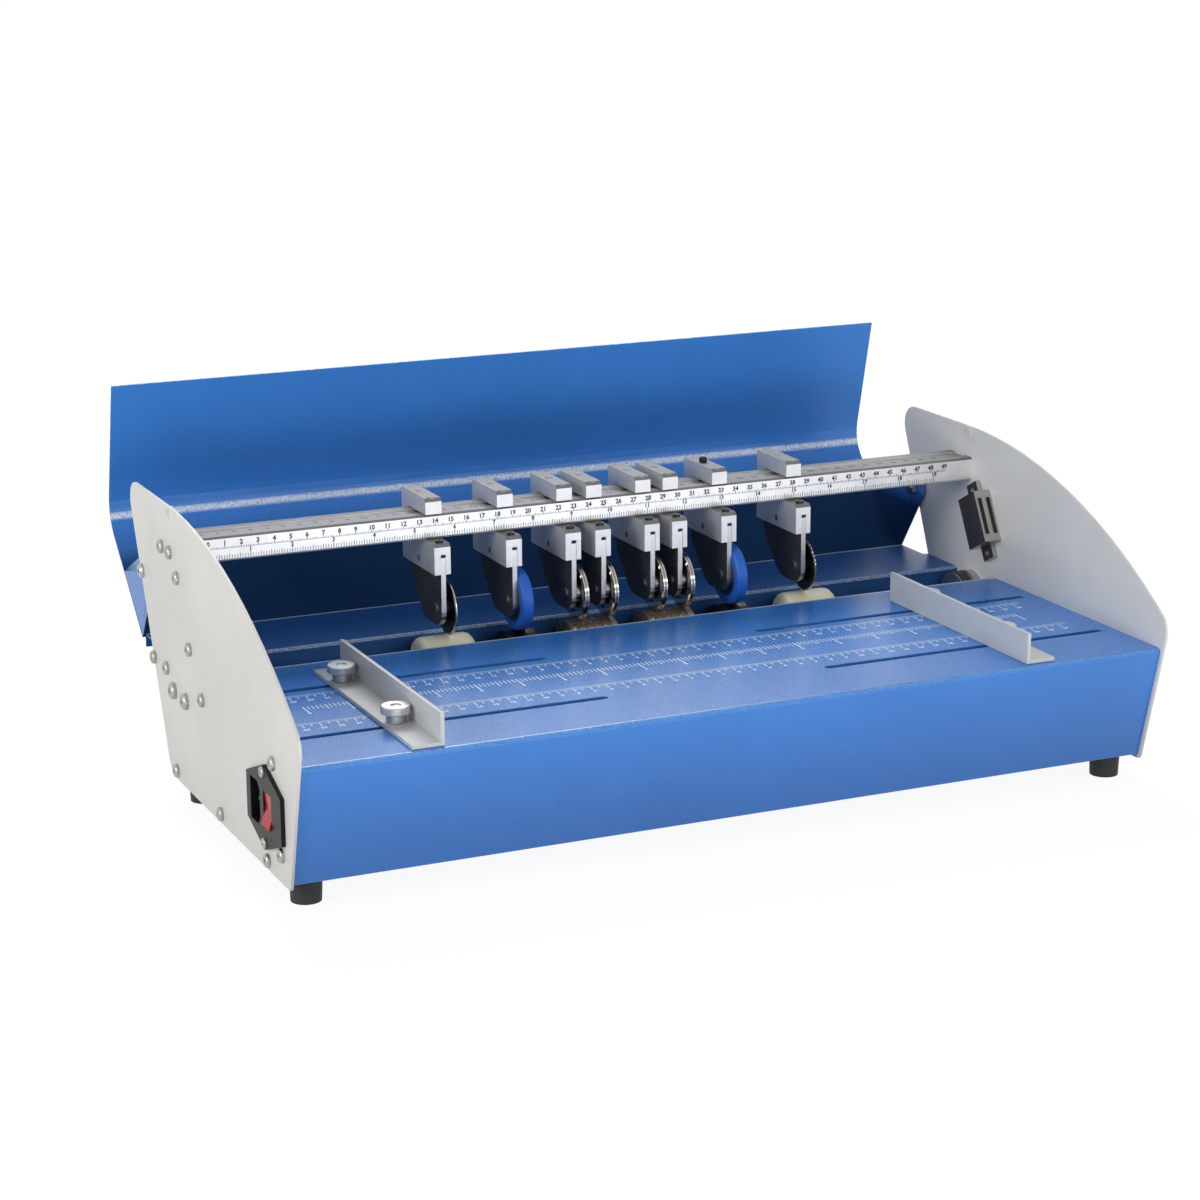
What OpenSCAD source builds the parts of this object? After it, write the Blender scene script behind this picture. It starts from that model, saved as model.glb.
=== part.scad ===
// Electric creasing machine: two side plates carry an infeed table, a ruler beam with eight
// sliding tool blocks, a driven roller shaft under them and a hinged cover, shown open.
// Lengths are in millimetres. X runs along the width, +Y to the rear, Z up from the surface.

/* [Side plates] */
// Width over the two side plates
body_w = 533.4; // [520:0.1:560]
// Thickness of a side plate
plate_t = 1.5; // [1:0.1:2]
// Height of the plates' lower edge above the surface
plate_lift = 12.5; // [11:0.1:13]
// Height of the plates' top edge above the surface
plate_h = 178; // [177:0.5:182]
// Depth of the plates' lower edge
plate_foot_l = 220; // [216:0.5:222]
// Radius of the long crown at the front of a plate
crown_r = 382; // [376:1:392]
// Radius of the plates' front nose
nose_r = 13; // [8:0.5:16]
// Radius of the plates' upper rear corner
tip_r = 12; // [6:0.5:14]

/* [Table] */
// Height of the table's upper face
table_h = 85.3; // [84.5:0.1:86]
// Depth of the table from its front bend to its rear edge
table_l = 187; // [182:0.5:188]
// Thickness of the bent sheets
sheet_t = 1.2; // [0.8:0.1:1.4]
// Outer radius of the table's front bend
table_bend_r = 2.5; // [2:0.5:7]
// Width of the clamping slots
slot_w = 5; // [4.5:0.1:6]
// Height of the tray's underside edge above the surface
tray_edge_h = 14.5; // [14:0.1:16]
// Height of the tray floor's upper face
tray_h = 23.2; // [22.8:0.1:24]

/* [Cover] */
// Angle that the cover turns from open to closed
cover_turn = 138; // [136:0.5:138]
// Outer radius of the cover's bend
cover_bend_r = 25; // [15:1:30]
// Height of the cover's roof above its hinge
roof_up = 47; // [46.5:0.1:48]
// Radius of the cover's hinge ears
ear_r = 11; // [8:0.5:11.5]
// Radius of the hinge pins
hinge_r = 3; // [2:0.1:3.5]

/* [Ruler beam] */
// Depth of the ruler beam
beam_l = 28; // [26:0.1:30]
// Height of the ruler beam's section
beam_h = 14.7; // [13:0.1:15]
// Height of the beam's lower face above the surface
beam_lift = 143.4; // [143:0.1:145]

/* [Tools] */
// Width of a tool block
block_w = 10.2; // [10.2:0.1:11]
// Thickness of a tool arm
arm_t = 3; // [2.5:0.1:3]
// Radius of the tool axles
axle_r = 2.5; // [2:0.1:3]
// Radius of the rubber feed wheels
feed_r = 19; // [18:0.1:19]
// Radius of the creasing wheels
crease_r = 17.4; // [16.5:0.1:17.4]
// Radius of the cutting and perforating wheels
cut_r = 16.9; // [16:0.1:16.9]

/* [Rollers] */
// Radius of the driven shaft
shaft_r = 6; // [5:0.1:7]
// Height of the driven shaft above the surface
shaft_h = 67.4; // [67:0.1:68]
// Length of the nylon rollers
nylon_l = 34.5; // [32:0.5:40]
// Length of the steel rollers
steel_l = 19; // [17:0.5:20]
// Length of the creasing rollers
crease_l = 31; // [28:0.5:32]

/* [Guides] */
// Length of the side guides
guide_l = 158.1; // [150:0.1:158.1]
// Height of the side guides above the table
guide_up = 18.4; // [15:0.1:20]
// Thickness of the guide angle
guide_t = 2.2; // [1.5:0.1:2.5]

/* [Feet] */
// Radius of a rubber foot at its top
foot_r = 9.5; // [8:0.1:10]

/* [Hidden] */

// Smoothness of round faces, and steps of a rounded corner and of a long round outline
$fn = 64;
arc_steps = 6;
round_steps = 24;
// Running clearance between bodies, clearance in a screw hole and of a shaft in its bore
gap = 0.3;
hole_gap = 0.1;
fit_gap = 0.05;
// Overrun of every cut
over = 1;

// Side plates in Y and Z, with Y measured from the table's front bend
half_w = body_w / 2;
in_x = half_w - plate_t;
in_w = 2 * in_x;
foot_front_y = 17;
foot_rear_y = foot_front_y + plate_foot_l;
foot_corner_r = 14;
toe_r = 3;
nose_y = -6.5;
tip_y = 308;
crown_y = 225;
crown_z = plate_h - crown_r;
nose_z = crown_z + sqrt(crown_r * crown_r - (crown_y - nose_y) * (crown_y - nose_y));
crown_steps = 14;

// Table: its front face runs parallel to the plates' front edge, a little behind it
table_inset = 2.1;
front_slant = (foot_front_y - nose_y) / (nose_z - plate_lift);
table_lip_z = 15;
table_rear_lip = 7;
table_under = table_h - sheet_t;
flange_h = 14.6;
flange_end = 8;
flange_strip = 12;
flange_foot_l = 40;
flange_foot_z = 24;
flange_foot_h = 10;
table_screw_y = [40, 166.6];
skirt_screw_y = 28.9;
skirt_screw_up = 4.9;
slot_share = [0.134, 0.479];
slot_y = [49, 136];

// Tray, ledge and rear panel
tray_front_y = 23;
tray_rear_y = 236;
tray_corner = 3;
tray_screw_y = [53.2, 137.3, 223.7];
ledge_screw_y = [236.4, 262.5];
ledge_screw_drop = 5;
ledge_tab_h = 14.5;
ledge_y = 229.5;
ledge_h = 82.5;
ledge_drop = 16.5;
ledge_lip = 8.5;
ledge_tab_rear_y = 266;
ledge_corner_y = 268;
panel_inset = 6;
panel_tab = 11.6;
rear_slant = (tip_y - foot_rear_y) / (plate_h - plate_lift);

// Cover, in Y and Z about its hinge, as it stands when closed
hinge_y = 281.5;
hinge_z = 126;
cover_x = in_x - 1.7;
roof_front = -73.6;
roof_rear = 17.1;
front_tilt = 28.2;
front_d = [-sin(front_tilt), -cos(front_tilt)];
front_n = [-cos(front_tilt), sin(front_tilt)];
front_l = 88.5;
ear_front = -31.5;
hinge_head_r = 4.4;
washer_r = 6;
lock_nut_r = 5.5;
lock_nut_h = 4;
nut_proud = 1;
cover_path = [[roof_rear, roof_up], [roof_front, roof_up], [roof_front, roof_up] + front_l * front_d];

// Magnetic catches behind the closed cover's front, along front_d and front_n
catch_l = 33.6;
catch_depth = 20.8;
catch_w = 12;
catch_along = 45;
catch_lug_l = 8.7;
catch_lug_depth = 12.4;
catch_lug_t = 3.5;
catch_slot_w = 3;
catch_slot_l = 24;
catch_slot_deep = 4;
front_reach = cover_path[1] * front_n;
catch_face = front_reach - sheet_t - gap;

// Edge buttons on the plates
button_y = 221;
button_drop = 4.2;
button_r = 4;
button_h = 1.2;
button_stem_r = 1.5;
button_end_h = 0.8;

// Beam
beam_y = 215;
beam_mid_y = beam_y + beam_l / 2;
beam_mid_z = beam_lift + beam_h / 2;
beam_top = beam_lift + beam_h;
beam_screw_pitch = 16.4;
beam_groove_w = 12;
beam_groove_deep = 1;
beam_bevel = 1.2;

// Screws
screw_r = 2;
screw_head_r = 4;
screw_head_h = 2.6;
screw_l = 4;
socket_r = 1.3;
socket_deep = 1.5;
bolt_r = 2.5;
bolt_head_r = 4.9;
bolt_head_h = 3.4;
bolt_l = 6.5;
bolt_offset = 12;

// Tool blocks: each grips the beam, open to the front
block_y = [214, 254];
block_top = 168;
block_front_y = 200.7;
block_low = 124.4;
block_bevel = 2;
spine_gap_y = beam_y + beam_l + gap;
block_share = [-0.2012, -0.1148, -0.0417, -0.0045, 0.0575, 0.0926, 0.1563, 0.2540];
clamp_y = [217.5, 237];
clamp_hole_r = 2.5;
clamp_r = 2.4;
clamp_l = 6;
clamp_proud = 3;
front_screw_y = 205.5;
front_screw_l = 7;
front_screw_proud = 1.5;
arm_slot_left = 4;
arm_slot_gap = 0.1;
arm_slot_top = 136.5;

// Tool arms, hung on a pin across the block
pin_y = 227;
pin_z = 129.5;
pin_r = 2;
arm_front_y = 201;
arm_rear_y = 252;
arm_swing_gap = 0.9;
arm_front_top = 134.5;
arm_hip_z = 116;
arm_hip_r = 10;
arm_heel_y = 230;
arm_heel_r = 16;
arm_low = 91.5;
arm_toe_r = 9.5;
rivet_h = 0.8;
rivet_r = 3.2;

// Wheels and rollers: the nip between each pair is closed but for a sheet's gap
shaft_y = 210.8;
axle_rise = 34.1;
axle_z = shaft_h + axle_rise;
nylon_r = axle_rise - cut_r - gap;
steel_r = axle_rise - feed_r - gap;
crease_roller_r = axle_rise - crease_r - gap;
wheel_gap = 0.2;
wheel_w = 7.3;
hub_r = 6.5;
tyre_r = 13.5;
tyre_edge = 1.2;
crease_rim_w = 4;
crease_web_w = 2.4;
crease_dish_r = 12;
crease_groove_w = 1.4;
crease_groove_deep = 1.2;
disc_t = 1.5;
disc_edge = 0.5;
disc_bevel = 1.4;
tooth_count = 40;
tooth_w = 1.1;
tooth_deep = 1.2;
cap_h = 0.9;
cap_r = 3.6;

// Lower shaft and what it carries
shaft_end_gap = 0.6;
bearing_r = 17;
bearing_t = 5;
nylon_share = [-0.1937, 0.2691];
nylon_round = 4;
round_step = 30;
quarter_turn = 90;
creaser_share = [-0.0153, 0.0830];
roller_groove_w = 1.6;
roller_groove_deep = 0.8;
roller_grooves = 5;
roller_groove_pitch = 5.5;
steel_groove_w = 1;

// Drive: belt pulley on the shaft's right end, motor under the table
pulley_r = 15;
pulley_w = 7;
pulley_rim = 1;
pulley_rim_up = 1.2;
pulley_x = in_x - bearing_t - gap - pulley_rim - pulley_w;
belt_t = 1.5;
motor_y = 140;
motor_r = 18.5;
motor_z = tray_h + gap + motor_r;
motor_l = 70;
motor_cap_r = 12;
motor_cap_l = 6;
motor_pulley_r = 9;
motor_shaft_r = 3;
bracket_t = 3;
pulley_gap = 1.5;
bracket_x = pulley_x - pulley_rim - pulley_gap - bracket_t;
bracket_w = 44;
bracket_foot_l = 17;
bracket_up = 19;
bracket_corner_r = 8;
motor_bore_l = 8;

// Side guides and their knurled screws, from the guide face outwards
guide_y = 4.7;
guide_lift = 0.2;
guide_flange = 18.5;
guide_face_share = [-0.3452, 0.3324];
knob_out = 10.9;
stud_r = 2;
collar_r = 5.5;
collar_h = 4.5;
knob_r = 8.2;
knob_h = 4.6;
knob_bevel = 0.6;
knurls = 36;
knob_dimple_r = 3;
knob_dimple_deep = 0.8;
knurl_deep = 0.15;
nut_w = 10;
nut_h = 3;
stud_below = 1.2;

// Mains inlet on the left plate
inlet_y = 51.5;
inlet_z = 49;
inlet_t = 2.5;
inlet_half_y = 29;
inlet_half_z = 24;
inlet_side_z = 13;
inlet_body = [48, 27];
inlet_deep = 24;
inlet_screw_z = 20;
inlet_screw_r = 3;
inlet_head_h = 1.4;
inlet_shank_r = 1.5;
inlet_shank_l = inlet_t + plate_t;
socket_size = [16.2, 24.2];
socket_y = 14;
socket_hole_deep = 16;
socket_cut = 4;
socket_pin = [4, 2];
socket_pin_l = 13;
socket_pin_step = 7;
socket_earth_y = 2;
socket_tab_l = 6;
rocker_size = [13, 18.4];
rocker_y = -6.5;
rocker_window = 19.4;
rocker_deep = 12;
rocker_lip = 3;
rocker_axis_deep = 2.5;
rocker_waist = 1.2;
rocker_root = [3, 5];
rocker_tilt = 7;
rocker_pin_r = 1.4;
rocker_pin_l = 1.2;

// Rubber feet
foot_low_r = 8.5;
foot_inset = 14.2;
foot_x = half_w - foot_inset;
foot_y = [34.7, 218];
foot_hole_r = 3.5;
foot_hole_deep = 9;
foot_stem_r = 3;
foot_lip_r = 4;
foot_lip_h = 1.5;

// Middle of the whole width and depth, which the origin stands under
rocker_reach = rocker_lip * cos(rocker_tilt) + rocker_size[1] / 2 * sin(rocker_tilt) - rocker_axis_deep;
left_proud = inlet_t + rocker_reach;
mid_x = (bolt_head_h - left_proud) / 2;
plate_front = min([for (p = plate_outline()) p[0]]);
cover_back = hinge_y + max([for (p = cover_profile()) turned(p, -cover_turn)[0]]);
mid_y = (plate_front + cover_back) / 2;

function unit(v) = v / norm(v);
function signed(a) = a > 180 ? a - 360 : a < -180 ? a + 360 : a;
function turned(p, a) = [p[0] * cos(a) - p[1] * sin(a), p[0] * sin(a) + p[1] * cos(a)];
function left_normal(a, b) = turned(unit(b - a), 90);

// Points of an arc of radius r that rounds the corner b between a and c
function corner_arc(a, b, c, r) = let (
    u = unit(a - b),
    w = unit(c - b),
    half = acos(u * w) / 2,
    middle = b + unit(u + w) * r / sin(half),
    first = b + u * r / tan(half) - middle,
    last = b + w * r / tan(half) - middle,
    start = atan2(first[1], first[0]),
    sweep = signed(atan2(last[1], last[0]) - start)
) [for (i = [0 : arc_steps]) middle + turned([r, 0], start + sweep * i / arc_steps)];

// Points of an arc about p, from an angle and over a sweep
function round_points(p, r, from, sweep) = [for (i = [0 : round_steps])
    p + turned([r, 0], from + sweep * i / round_steps)];

// A path with its corners rounded; a radius of 0 keeps the corner
function rounded(path, radii) = let (n = len(path)) [for (i = [0 : n - 1])
    each radii[i] == 0 ? [path[i]]
        : corner_arc(path[(i + n - 1) % n], path[i], path[(i + 1) % n], radii[i])];

// A path moved by t to its left, and the outline of a bent sheet that lies left of its path
function beside(path, t) = let (last = len(path) - 1) [for (i = [0 : last]) let (
    before = left_normal(path[max(i - 1, 0)], path[max(i, 1)]),
    after = left_normal(path[min(i, last - 1)], path[min(i + 1, last)])
) path[i] + (before + after) * t / (1 + before * after)];
function bend_side(path, i) = let (last = len(path) - 1)
    i == 0 || i == last ? 0 : sign(cross(path[i] - path[i - 1], path[i + 1] - path[i]));
function inner_radii(path, radii, t) = [for (i = [0 : len(path) - 1])
    radii[i] == 0 ? 0 : radii[i] - t * bend_side(path, i)];
function reversed(v) = [for (i = [len(v) - 1 : -1 : 0]) v[i]];
function sheet_profile(path, radii, t) = concat(
    rounded(path, radii), reversed(rounded(beside(path, t), inner_radii(path, radii, t))));

function crown_point(i) = let (
    last = atan2(nose_z - crown_z, nose_y - crown_y)
) [crown_y, crown_z] + turned([crown_r, 0], 90 + (last - 90) * i / crown_steps);
function plate_outline() = let (
    crown = [for (i = [0 : crown_steps - 1]) crown_point(i)]
) rounded(
    concat([[foot_front_y, plate_lift], [foot_rear_y, plate_lift], [tip_y, plate_h]], crown,
        [[nose_y, nose_z]]),
    concat([toe_r, foot_corner_r, tip_r], [for (p = crown) 0], [nose_r]));
function cover_profile() = sheet_profile(cover_path, [0, cover_bend_r, 0], sheet_t);

// Y of the table's front face at height z, and of its inner side
function face_y(z) = nose_y + table_inset + (nose_z - z) * front_slant;
function face_in(z) = face_y(z) + sheet_t * norm([1, front_slant]);

// Places of the screws in Y and Z, each worked out from the piece that it holds
function beam_screws() = [for (s = [-1, 1]) [beam_mid_y + s * beam_screw_pitch / 2, beam_mid_z]];
function table_screws() = [for (y = table_screw_y) [y, table_under - flange_h / 2]];
function ledge_screws() = [for (y = ledge_screw_y) [y, ledge_h - ledge_screw_drop]];
function tray_screws() = [for (y = tray_screw_y) [y, (tray_edge_h + tray_h - sheet_t) / 2]];
function skirt_screws() = [[skirt_screw_y, flange_foot_z + skirt_screw_up]];
function catch_point(along, out) = [hinge_y, hinge_z] + along * front_d + out * front_n;
function catch_lug_out() = catch_face - catch_depth + catch_lug_depth / 2;
function catch_screws() = [for (s = [-1, 1])
    catch_point(catch_along + s * (catch_l + catch_lug_l) / 2, catch_lug_out())];
function bearing_bolts() = [for (s = [-1, 1]) [shaft_y + s * bolt_offset, shaft_h]];
function plate_screws() = concat(beam_screws(), table_screws(), ledge_screws(), tray_screws(),
    skirt_screws(), catch_screws());

// Left face of a tool block, and of the guides' walls
function block_x(i) = block_share[i] * in_w - block_w / 2;
function wheel_x(i) = block_x(i) + arm_slot_left + arm_slot_gap + arm_t + wheel_gap;
function guide_face(i) = guide_face_share[i] * in_w;
function guide_back(i) = i == 0 ? -1 : 1;
function knob_x(i) = guide_face(i) + guide_back(i) * knob_out;
function guide_floor() = table_h + guide_lift;

module place() { translate([-mid_x, -mid_y, 0]) children(); }

// A flat outline in Y and Z, extruded along +X from x, and a rod along +X
module slab(x, t) { translate([x, 0, 0]) rotate([90, 0, 90]) linear_extrude(t) children(); }
module rod(x, l, r, p) { translate([x, p[0], p[1]]) rotate([0, 90, 0]) cylinder(h = l, r = r); }
module ring(x, l, r, bore, p) {
    difference() {
        rod(x, l, r, p);
        rod(x - over, l + 2 * over, bore, p);
    }
}
module block(low, high) { translate(low) cube(high - low); }

// A round-ended slot along X, cut upwards from z
module long_slot(ends, y, z, h, r) {
    for (x = ends) translate([x, y, z]) cylinder(h = h, r = r);
    block([ends[0], y - r, z], [ends[1], y + r, z + h]);
}

// Screws through both plates at one place in Y and Z; side is -1 on the left, 1 on the right
module side_screw(side, p, r, l, head_r, head_h) {
    mirror([side < 0 ? 1 : 0, 0, 0]) {
        rod(half_w - l, l, r, p);
        difference() {
            union() {
                rod(half_w, head_h / 2, head_r, p);
                translate([half_w + head_h / 2, p[0], p[1]]) rotate([0, 90, 0])
                    cylinder(h = head_h / 2, r1 = head_r, r2 = head_r * 0.7);
            }
            rod(half_w + head_h - socket_deep, head_h, socket_r, p);
        }
    }
}

module plate_blank() {
    slab(in_x, plate_t) polygon(plate_outline());
}
module plate_holes() {
    for (p = plate_screws()) rod(in_x - over, plate_t + 2 * over, screw_r + hole_gap, p);
    for (p = bearing_bolts()) rod(in_x - over, plate_t + 2 * over, bolt_r + hole_gap, p);
    rod(in_x - over, plate_t + 2 * over, hinge_r + fit_gap, [hinge_y, hinge_z]);
    rod(in_x - over, plate_t + 2 * over, button_stem_r + hole_gap, [button_y, plate_h - button_drop]);
}
module inlet_cut() {
    inlet_box(-half_w - over, [inlet_y, inlet_z], [for (l = inlet_body) l + 2 * hole_gap],
        plate_t + 2 * over);
    for (s = [-1, 1])
        rod(-half_w - over, plate_t + 2 * over, inlet_shank_r + hole_gap,
            [inlet_y, inlet_z + s * inlet_screw_z]);
}
module left_side_plate() {
    color("gainsboro") place() difference() {
        mirror([1, 0, 0]) difference() {
            plate_blank();
            plate_holes();
        }
        inlet_cut();
    }
}
module right_side_plate() {
    color("gainsboro") place() difference() {
        plate_blank();
        plate_holes();
    }
}
module side_plate_screws() {
    color("silver") place() for (side = [-1, 1]) for (p = plate_screws())
        side_screw(side, p, screw_r, screw_l, screw_head_r, screw_head_h);
}
module bearing_screws() {
    color("silver") place() for (side = [-1, 1]) for (p = bearing_bolts())
        side_screw(side, p, bolt_r, bolt_l, bolt_head_r, bolt_head_h);
}

// Infeed table: top, bent front and lower lip in one sheet, with screwed flanges at both ends
function table_path() = [
    [tray_front_y, table_lip_z], [face_y(table_lip_z), table_lip_z], [face_y(table_h), table_h],
    [table_l, table_h], [table_l, table_h - table_rear_lip]];
module table_flange() {
    polygon([
        [face_in(flange_foot_z), flange_foot_z], [flange_foot_l, flange_foot_z],
        [flange_foot_l, flange_foot_z + flange_foot_h],
        [face_in(flange_foot_z + flange_foot_h) + flange_strip, flange_foot_z + flange_foot_h],
        [face_in(table_under - flange_h) + flange_strip, table_under - flange_h],
        [table_l - flange_end, table_under - flange_h], [table_l - flange_end, table_under],
        [face_in(table_under) + table_bend_r, table_under],
        [face_in(table_under - table_bend_r), table_under - table_bend_r]]);
}
module infeed_table() {
    color("steelblue") place() difference() {
        union() {
            slab(-in_x, in_w)
                polygon(sheet_profile(table_path(), [0, sheet_t, table_bend_r, 2 * sheet_t, 0], -sheet_t));
            for (x = [-in_x, in_x - sheet_t]) slab(x, sheet_t) table_flange();
        }
        for (y = slot_y) for (side = [-1, 1])
            mirror([side < 0 ? 1 : 0, 0, 0])
                long_slot(slot_share * in_w, y, table_under - over, sheet_t + 2 * over, slot_w / 2);
        for (x = [-in_x - over, in_x - sheet_t - over]) for (p = concat(table_screws(), skirt_screws()))
            rod(x, sheet_t + 2 * over, screw_r + hole_gap, p);
    }
}

// Bottom tray: a shallow pan turned upside down between the plates, with the feet under it
module bottom_tray() {
    path = [[tray_front_y, tray_edge_h], [tray_front_y, tray_h], [tray_rear_y, tray_h],
        [tray_rear_y, tray_edge_h]];
    color("steelblue") place() difference() {
        union() {
            slab(-in_x, in_w) polygon(sheet_profile(path, [0, 2 * sheet_t, 2 * sheet_t, 0], -sheet_t));
            for (x = [-in_x, in_x - sheet_t])
                block([x, tray_front_y + tray_corner, tray_edge_h],
                    [x + sheet_t, tray_rear_y - tray_corner, tray_h - sheet_t / 2]);
        }
        for (x = [-in_x - over, in_x - sheet_t - over]) for (p = tray_screws())
            rod(x, sheet_t + 2 * over, screw_r + hole_gap, p);
        for (x = [-foot_x, foot_x]) for (y = foot_y)
            translate([x, y, tray_h - sheet_t - over])
                cylinder(h = sheet_t + 2 * over, r = foot_stem_r + hole_gap);
    }
}
module rubber_feet() {
    foot_h = tray_h - sheet_t;
    color("dimgray") place() for (x = [-foot_x, foot_x]) for (y = foot_y) translate([x, y, 0]) {
        difference() {
            cylinder(h = foot_h, r1 = foot_low_r, r2 = foot_r);
            translate([0, 0, -over]) cylinder(h = foot_hole_deep + over, r = foot_hole_r);
        }
        translate([0, 0, foot_h]) cylinder(h = sheet_t, r = foot_stem_r);
        translate([0, 0, foot_h + sheet_t]) cylinder(h = foot_lip_h, r = foot_lip_r);
    }
}

// Ledge behind the rollers, which the open cover leans on, and the slanted panel under it
ledge_rear_y = hinge_y + turned([roof_rear, roof_up - sheet_t], -cover_turn)[0] - gap;
module rear_ledge() {
    path = [[ledge_y, ledge_h - ledge_drop], [ledge_y, ledge_h], [ledge_rear_y, ledge_h],
        [ledge_rear_y, ledge_h - ledge_lip]];
    ear_in = cover_x - sheet_t - gap;
    color("steelblue") place() difference() {
        union() {
            slab(-in_x, in_w) polygon(sheet_profile(path, [0, 2 * sheet_t, 2 * sheet_t, 0], -sheet_t));
            for (x = [-in_x, in_x - sheet_t])
                block([x, ledge_y + sheet_t / 2, ledge_h - ledge_tab_h],
                    [x + sheet_t, ledge_tab_rear_y, ledge_h - sheet_t / 2]);
        }
        for (x = [-in_x - over, in_x - sheet_t - over]) for (p = ledge_screws())
            rod(x, sheet_t + 2 * over, screw_r + hole_gap, p);
        for (side = [0, 1]) mirror([side, 0, 0])
            block([ear_in, ledge_corner_y, ledge_h - ledge_tab_h - over],
                [in_x + over, ledge_rear_y + over, ledge_h + over]);
    }
}
function panel_y(z) = foot_rear_y + (z - plate_lift) * rear_slant - panel_inset;
module rear_panel() {
    top = ledge_h - sheet_t;
    path = [[panel_y(tray_h) - panel_tab, tray_h], [panel_y(tray_h), tray_h], [panel_y(top), top],
        [panel_y(top) - panel_tab, top]];
    color("steelblue") place()
        slab(-in_x + sheet_t, in_w - 2 * sheet_t)
            polygon(sheet_profile(path, [0, 2 * sheet_t, 2 * sheet_t, 0], sheet_t));
}

// Cover: roof and front in one bent sheet, with an ear at each end that turns on its pin
function tangent_angle(p, side) = atan2(p[1], p[0]) + side * acos(ear_r / norm(p));
function ear_outline() = let (
    rear = [roof_rear, roof_up - sheet_t / 2],
    front = [ear_front, roof_up - sheet_t / 2],
    from = tangent_angle(front, 1),
    sweep = tangent_angle(rear, -1) + 360 - from
) concat(round_points([0, 0], ear_r, from, sweep), [rear, front]);
module cover_ear(x) { slab(x, sheet_t) polygon(ear_outline()); }
module cover() {
    color("royalblue") place() translate([0, hinge_y, hinge_z]) rotate([-cover_turn, 0, 0])
        difference() {
            union() {
                slab(-cover_x, 2 * cover_x) polygon(cover_profile());
                cover_ear(-cover_x);
                cover_ear(cover_x - sheet_t);
            }
            for (x = [-cover_x - over, cover_x - sheet_t - over])
                rod(x, sheet_t + 2 * over, hinge_r + fit_gap, [0, 0]);
        }
}
module cover_pivot_pins() {
    nut_x = cover_x - sheet_t - gap - lock_nut_h;
    color("silver") place() for (side = [0, 1]) mirror([side, 0, 0]) {
        side_screw(1, [hinge_y, hinge_z], hinge_r, half_w - nut_x + nut_proud, hinge_head_r, screw_head_h);
        ring(cover_x + gap, in_x - cover_x - gap, washer_r, hinge_r + fit_gap, [hinge_y, hinge_z]);
        difference() {
            translate([nut_x, hinge_y, hinge_z]) rotate([0, 90, 0])
                cylinder(h = lock_nut_h, r = lock_nut_r, $fn = 6);
            rod(nut_x - over, lock_nut_h + 2 * over, hinge_r + fit_gap, [hinge_y, hinge_z]);
        }
    }
}
module cover_bumpers() {
    p = [button_y, plate_h - button_drop];
    color("white") place() for (side = [0, 1]) mirror([side, 0, 0]) {
        rod(in_x - button_h, button_h, button_r, p);
        rod(in_x, plate_t, button_stem_r, p);
        rod(half_w, button_end_h, button_stem_r + button_end_h, p);
    }
}

// Magnetic catches: a slotted steel block with a screwed lug at each end, on both plates
module catch_plate(x, t, along, out) {
    slab(x, t) polygon([catch_point(along[0], out[0]), catch_point(along[1], out[0]),
        catch_point(along[1], out[1]), catch_point(along[0], out[1])]);
}
module catch_magnets() {
    base = catch_face - catch_depth;
    ends = [catch_along - catch_l / 2, catch_along + catch_l / 2];
    slots = [catch_along - catch_slot_l / 2, catch_along + catch_slot_l / 2];
    color("lightslategray") place() for (side = [0, 1]) mirror([side, 0, 0]) difference() {
        union() {
            catch_plate(in_x - catch_w, catch_w, ends, [base, catch_face]);
            catch_plate(in_x - catch_lug_t, catch_lug_t, ends + catch_lug_l * [-1, 1],
                [base, base + catch_lug_depth]);
        }
        for (i = [1, 3])
            catch_plate(in_x - catch_w * i / 4 - catch_slot_w / 2, catch_slot_w, slots,
                [catch_face - catch_slot_deep, catch_face + over]);
        for (p = catch_screws())
            rod(in_x - catch_lug_t - over, catch_lug_t + 2 * over, screw_r + hole_gap, p);
    }
}

// Ruler beam: an aluminium bar with bevelled edges and a shallow groove along its top
module ruler_beam() {
    y0 = beam_y;
    y1 = beam_y + beam_l;
    g0 = beam_mid_y - beam_groove_w / 2;
    g1 = beam_mid_y + beam_groove_w / 2;
    floor_z = beam_top - beam_groove_deep;
    color("lightgray") place() difference() {
        slab(-in_x, in_w) polygon([
            [y0, beam_lift + beam_bevel], [y0 + beam_bevel, beam_lift], [y1 - beam_bevel, beam_lift],
            [y1, beam_lift + beam_bevel], [y1, beam_top - beam_bevel], [y1 - beam_bevel, beam_top],
            [g1, beam_top], [g1, floor_z], [g0, floor_z], [g0, beam_top],
            [y0 + beam_bevel, beam_top], [y0, beam_top - beam_bevel]]);
        for (x = [-in_x - over, in_x - screw_l]) for (p = beam_screws())
            rod(x, screw_l + over, screw_r + hole_gap, p);
    }
}

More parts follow.
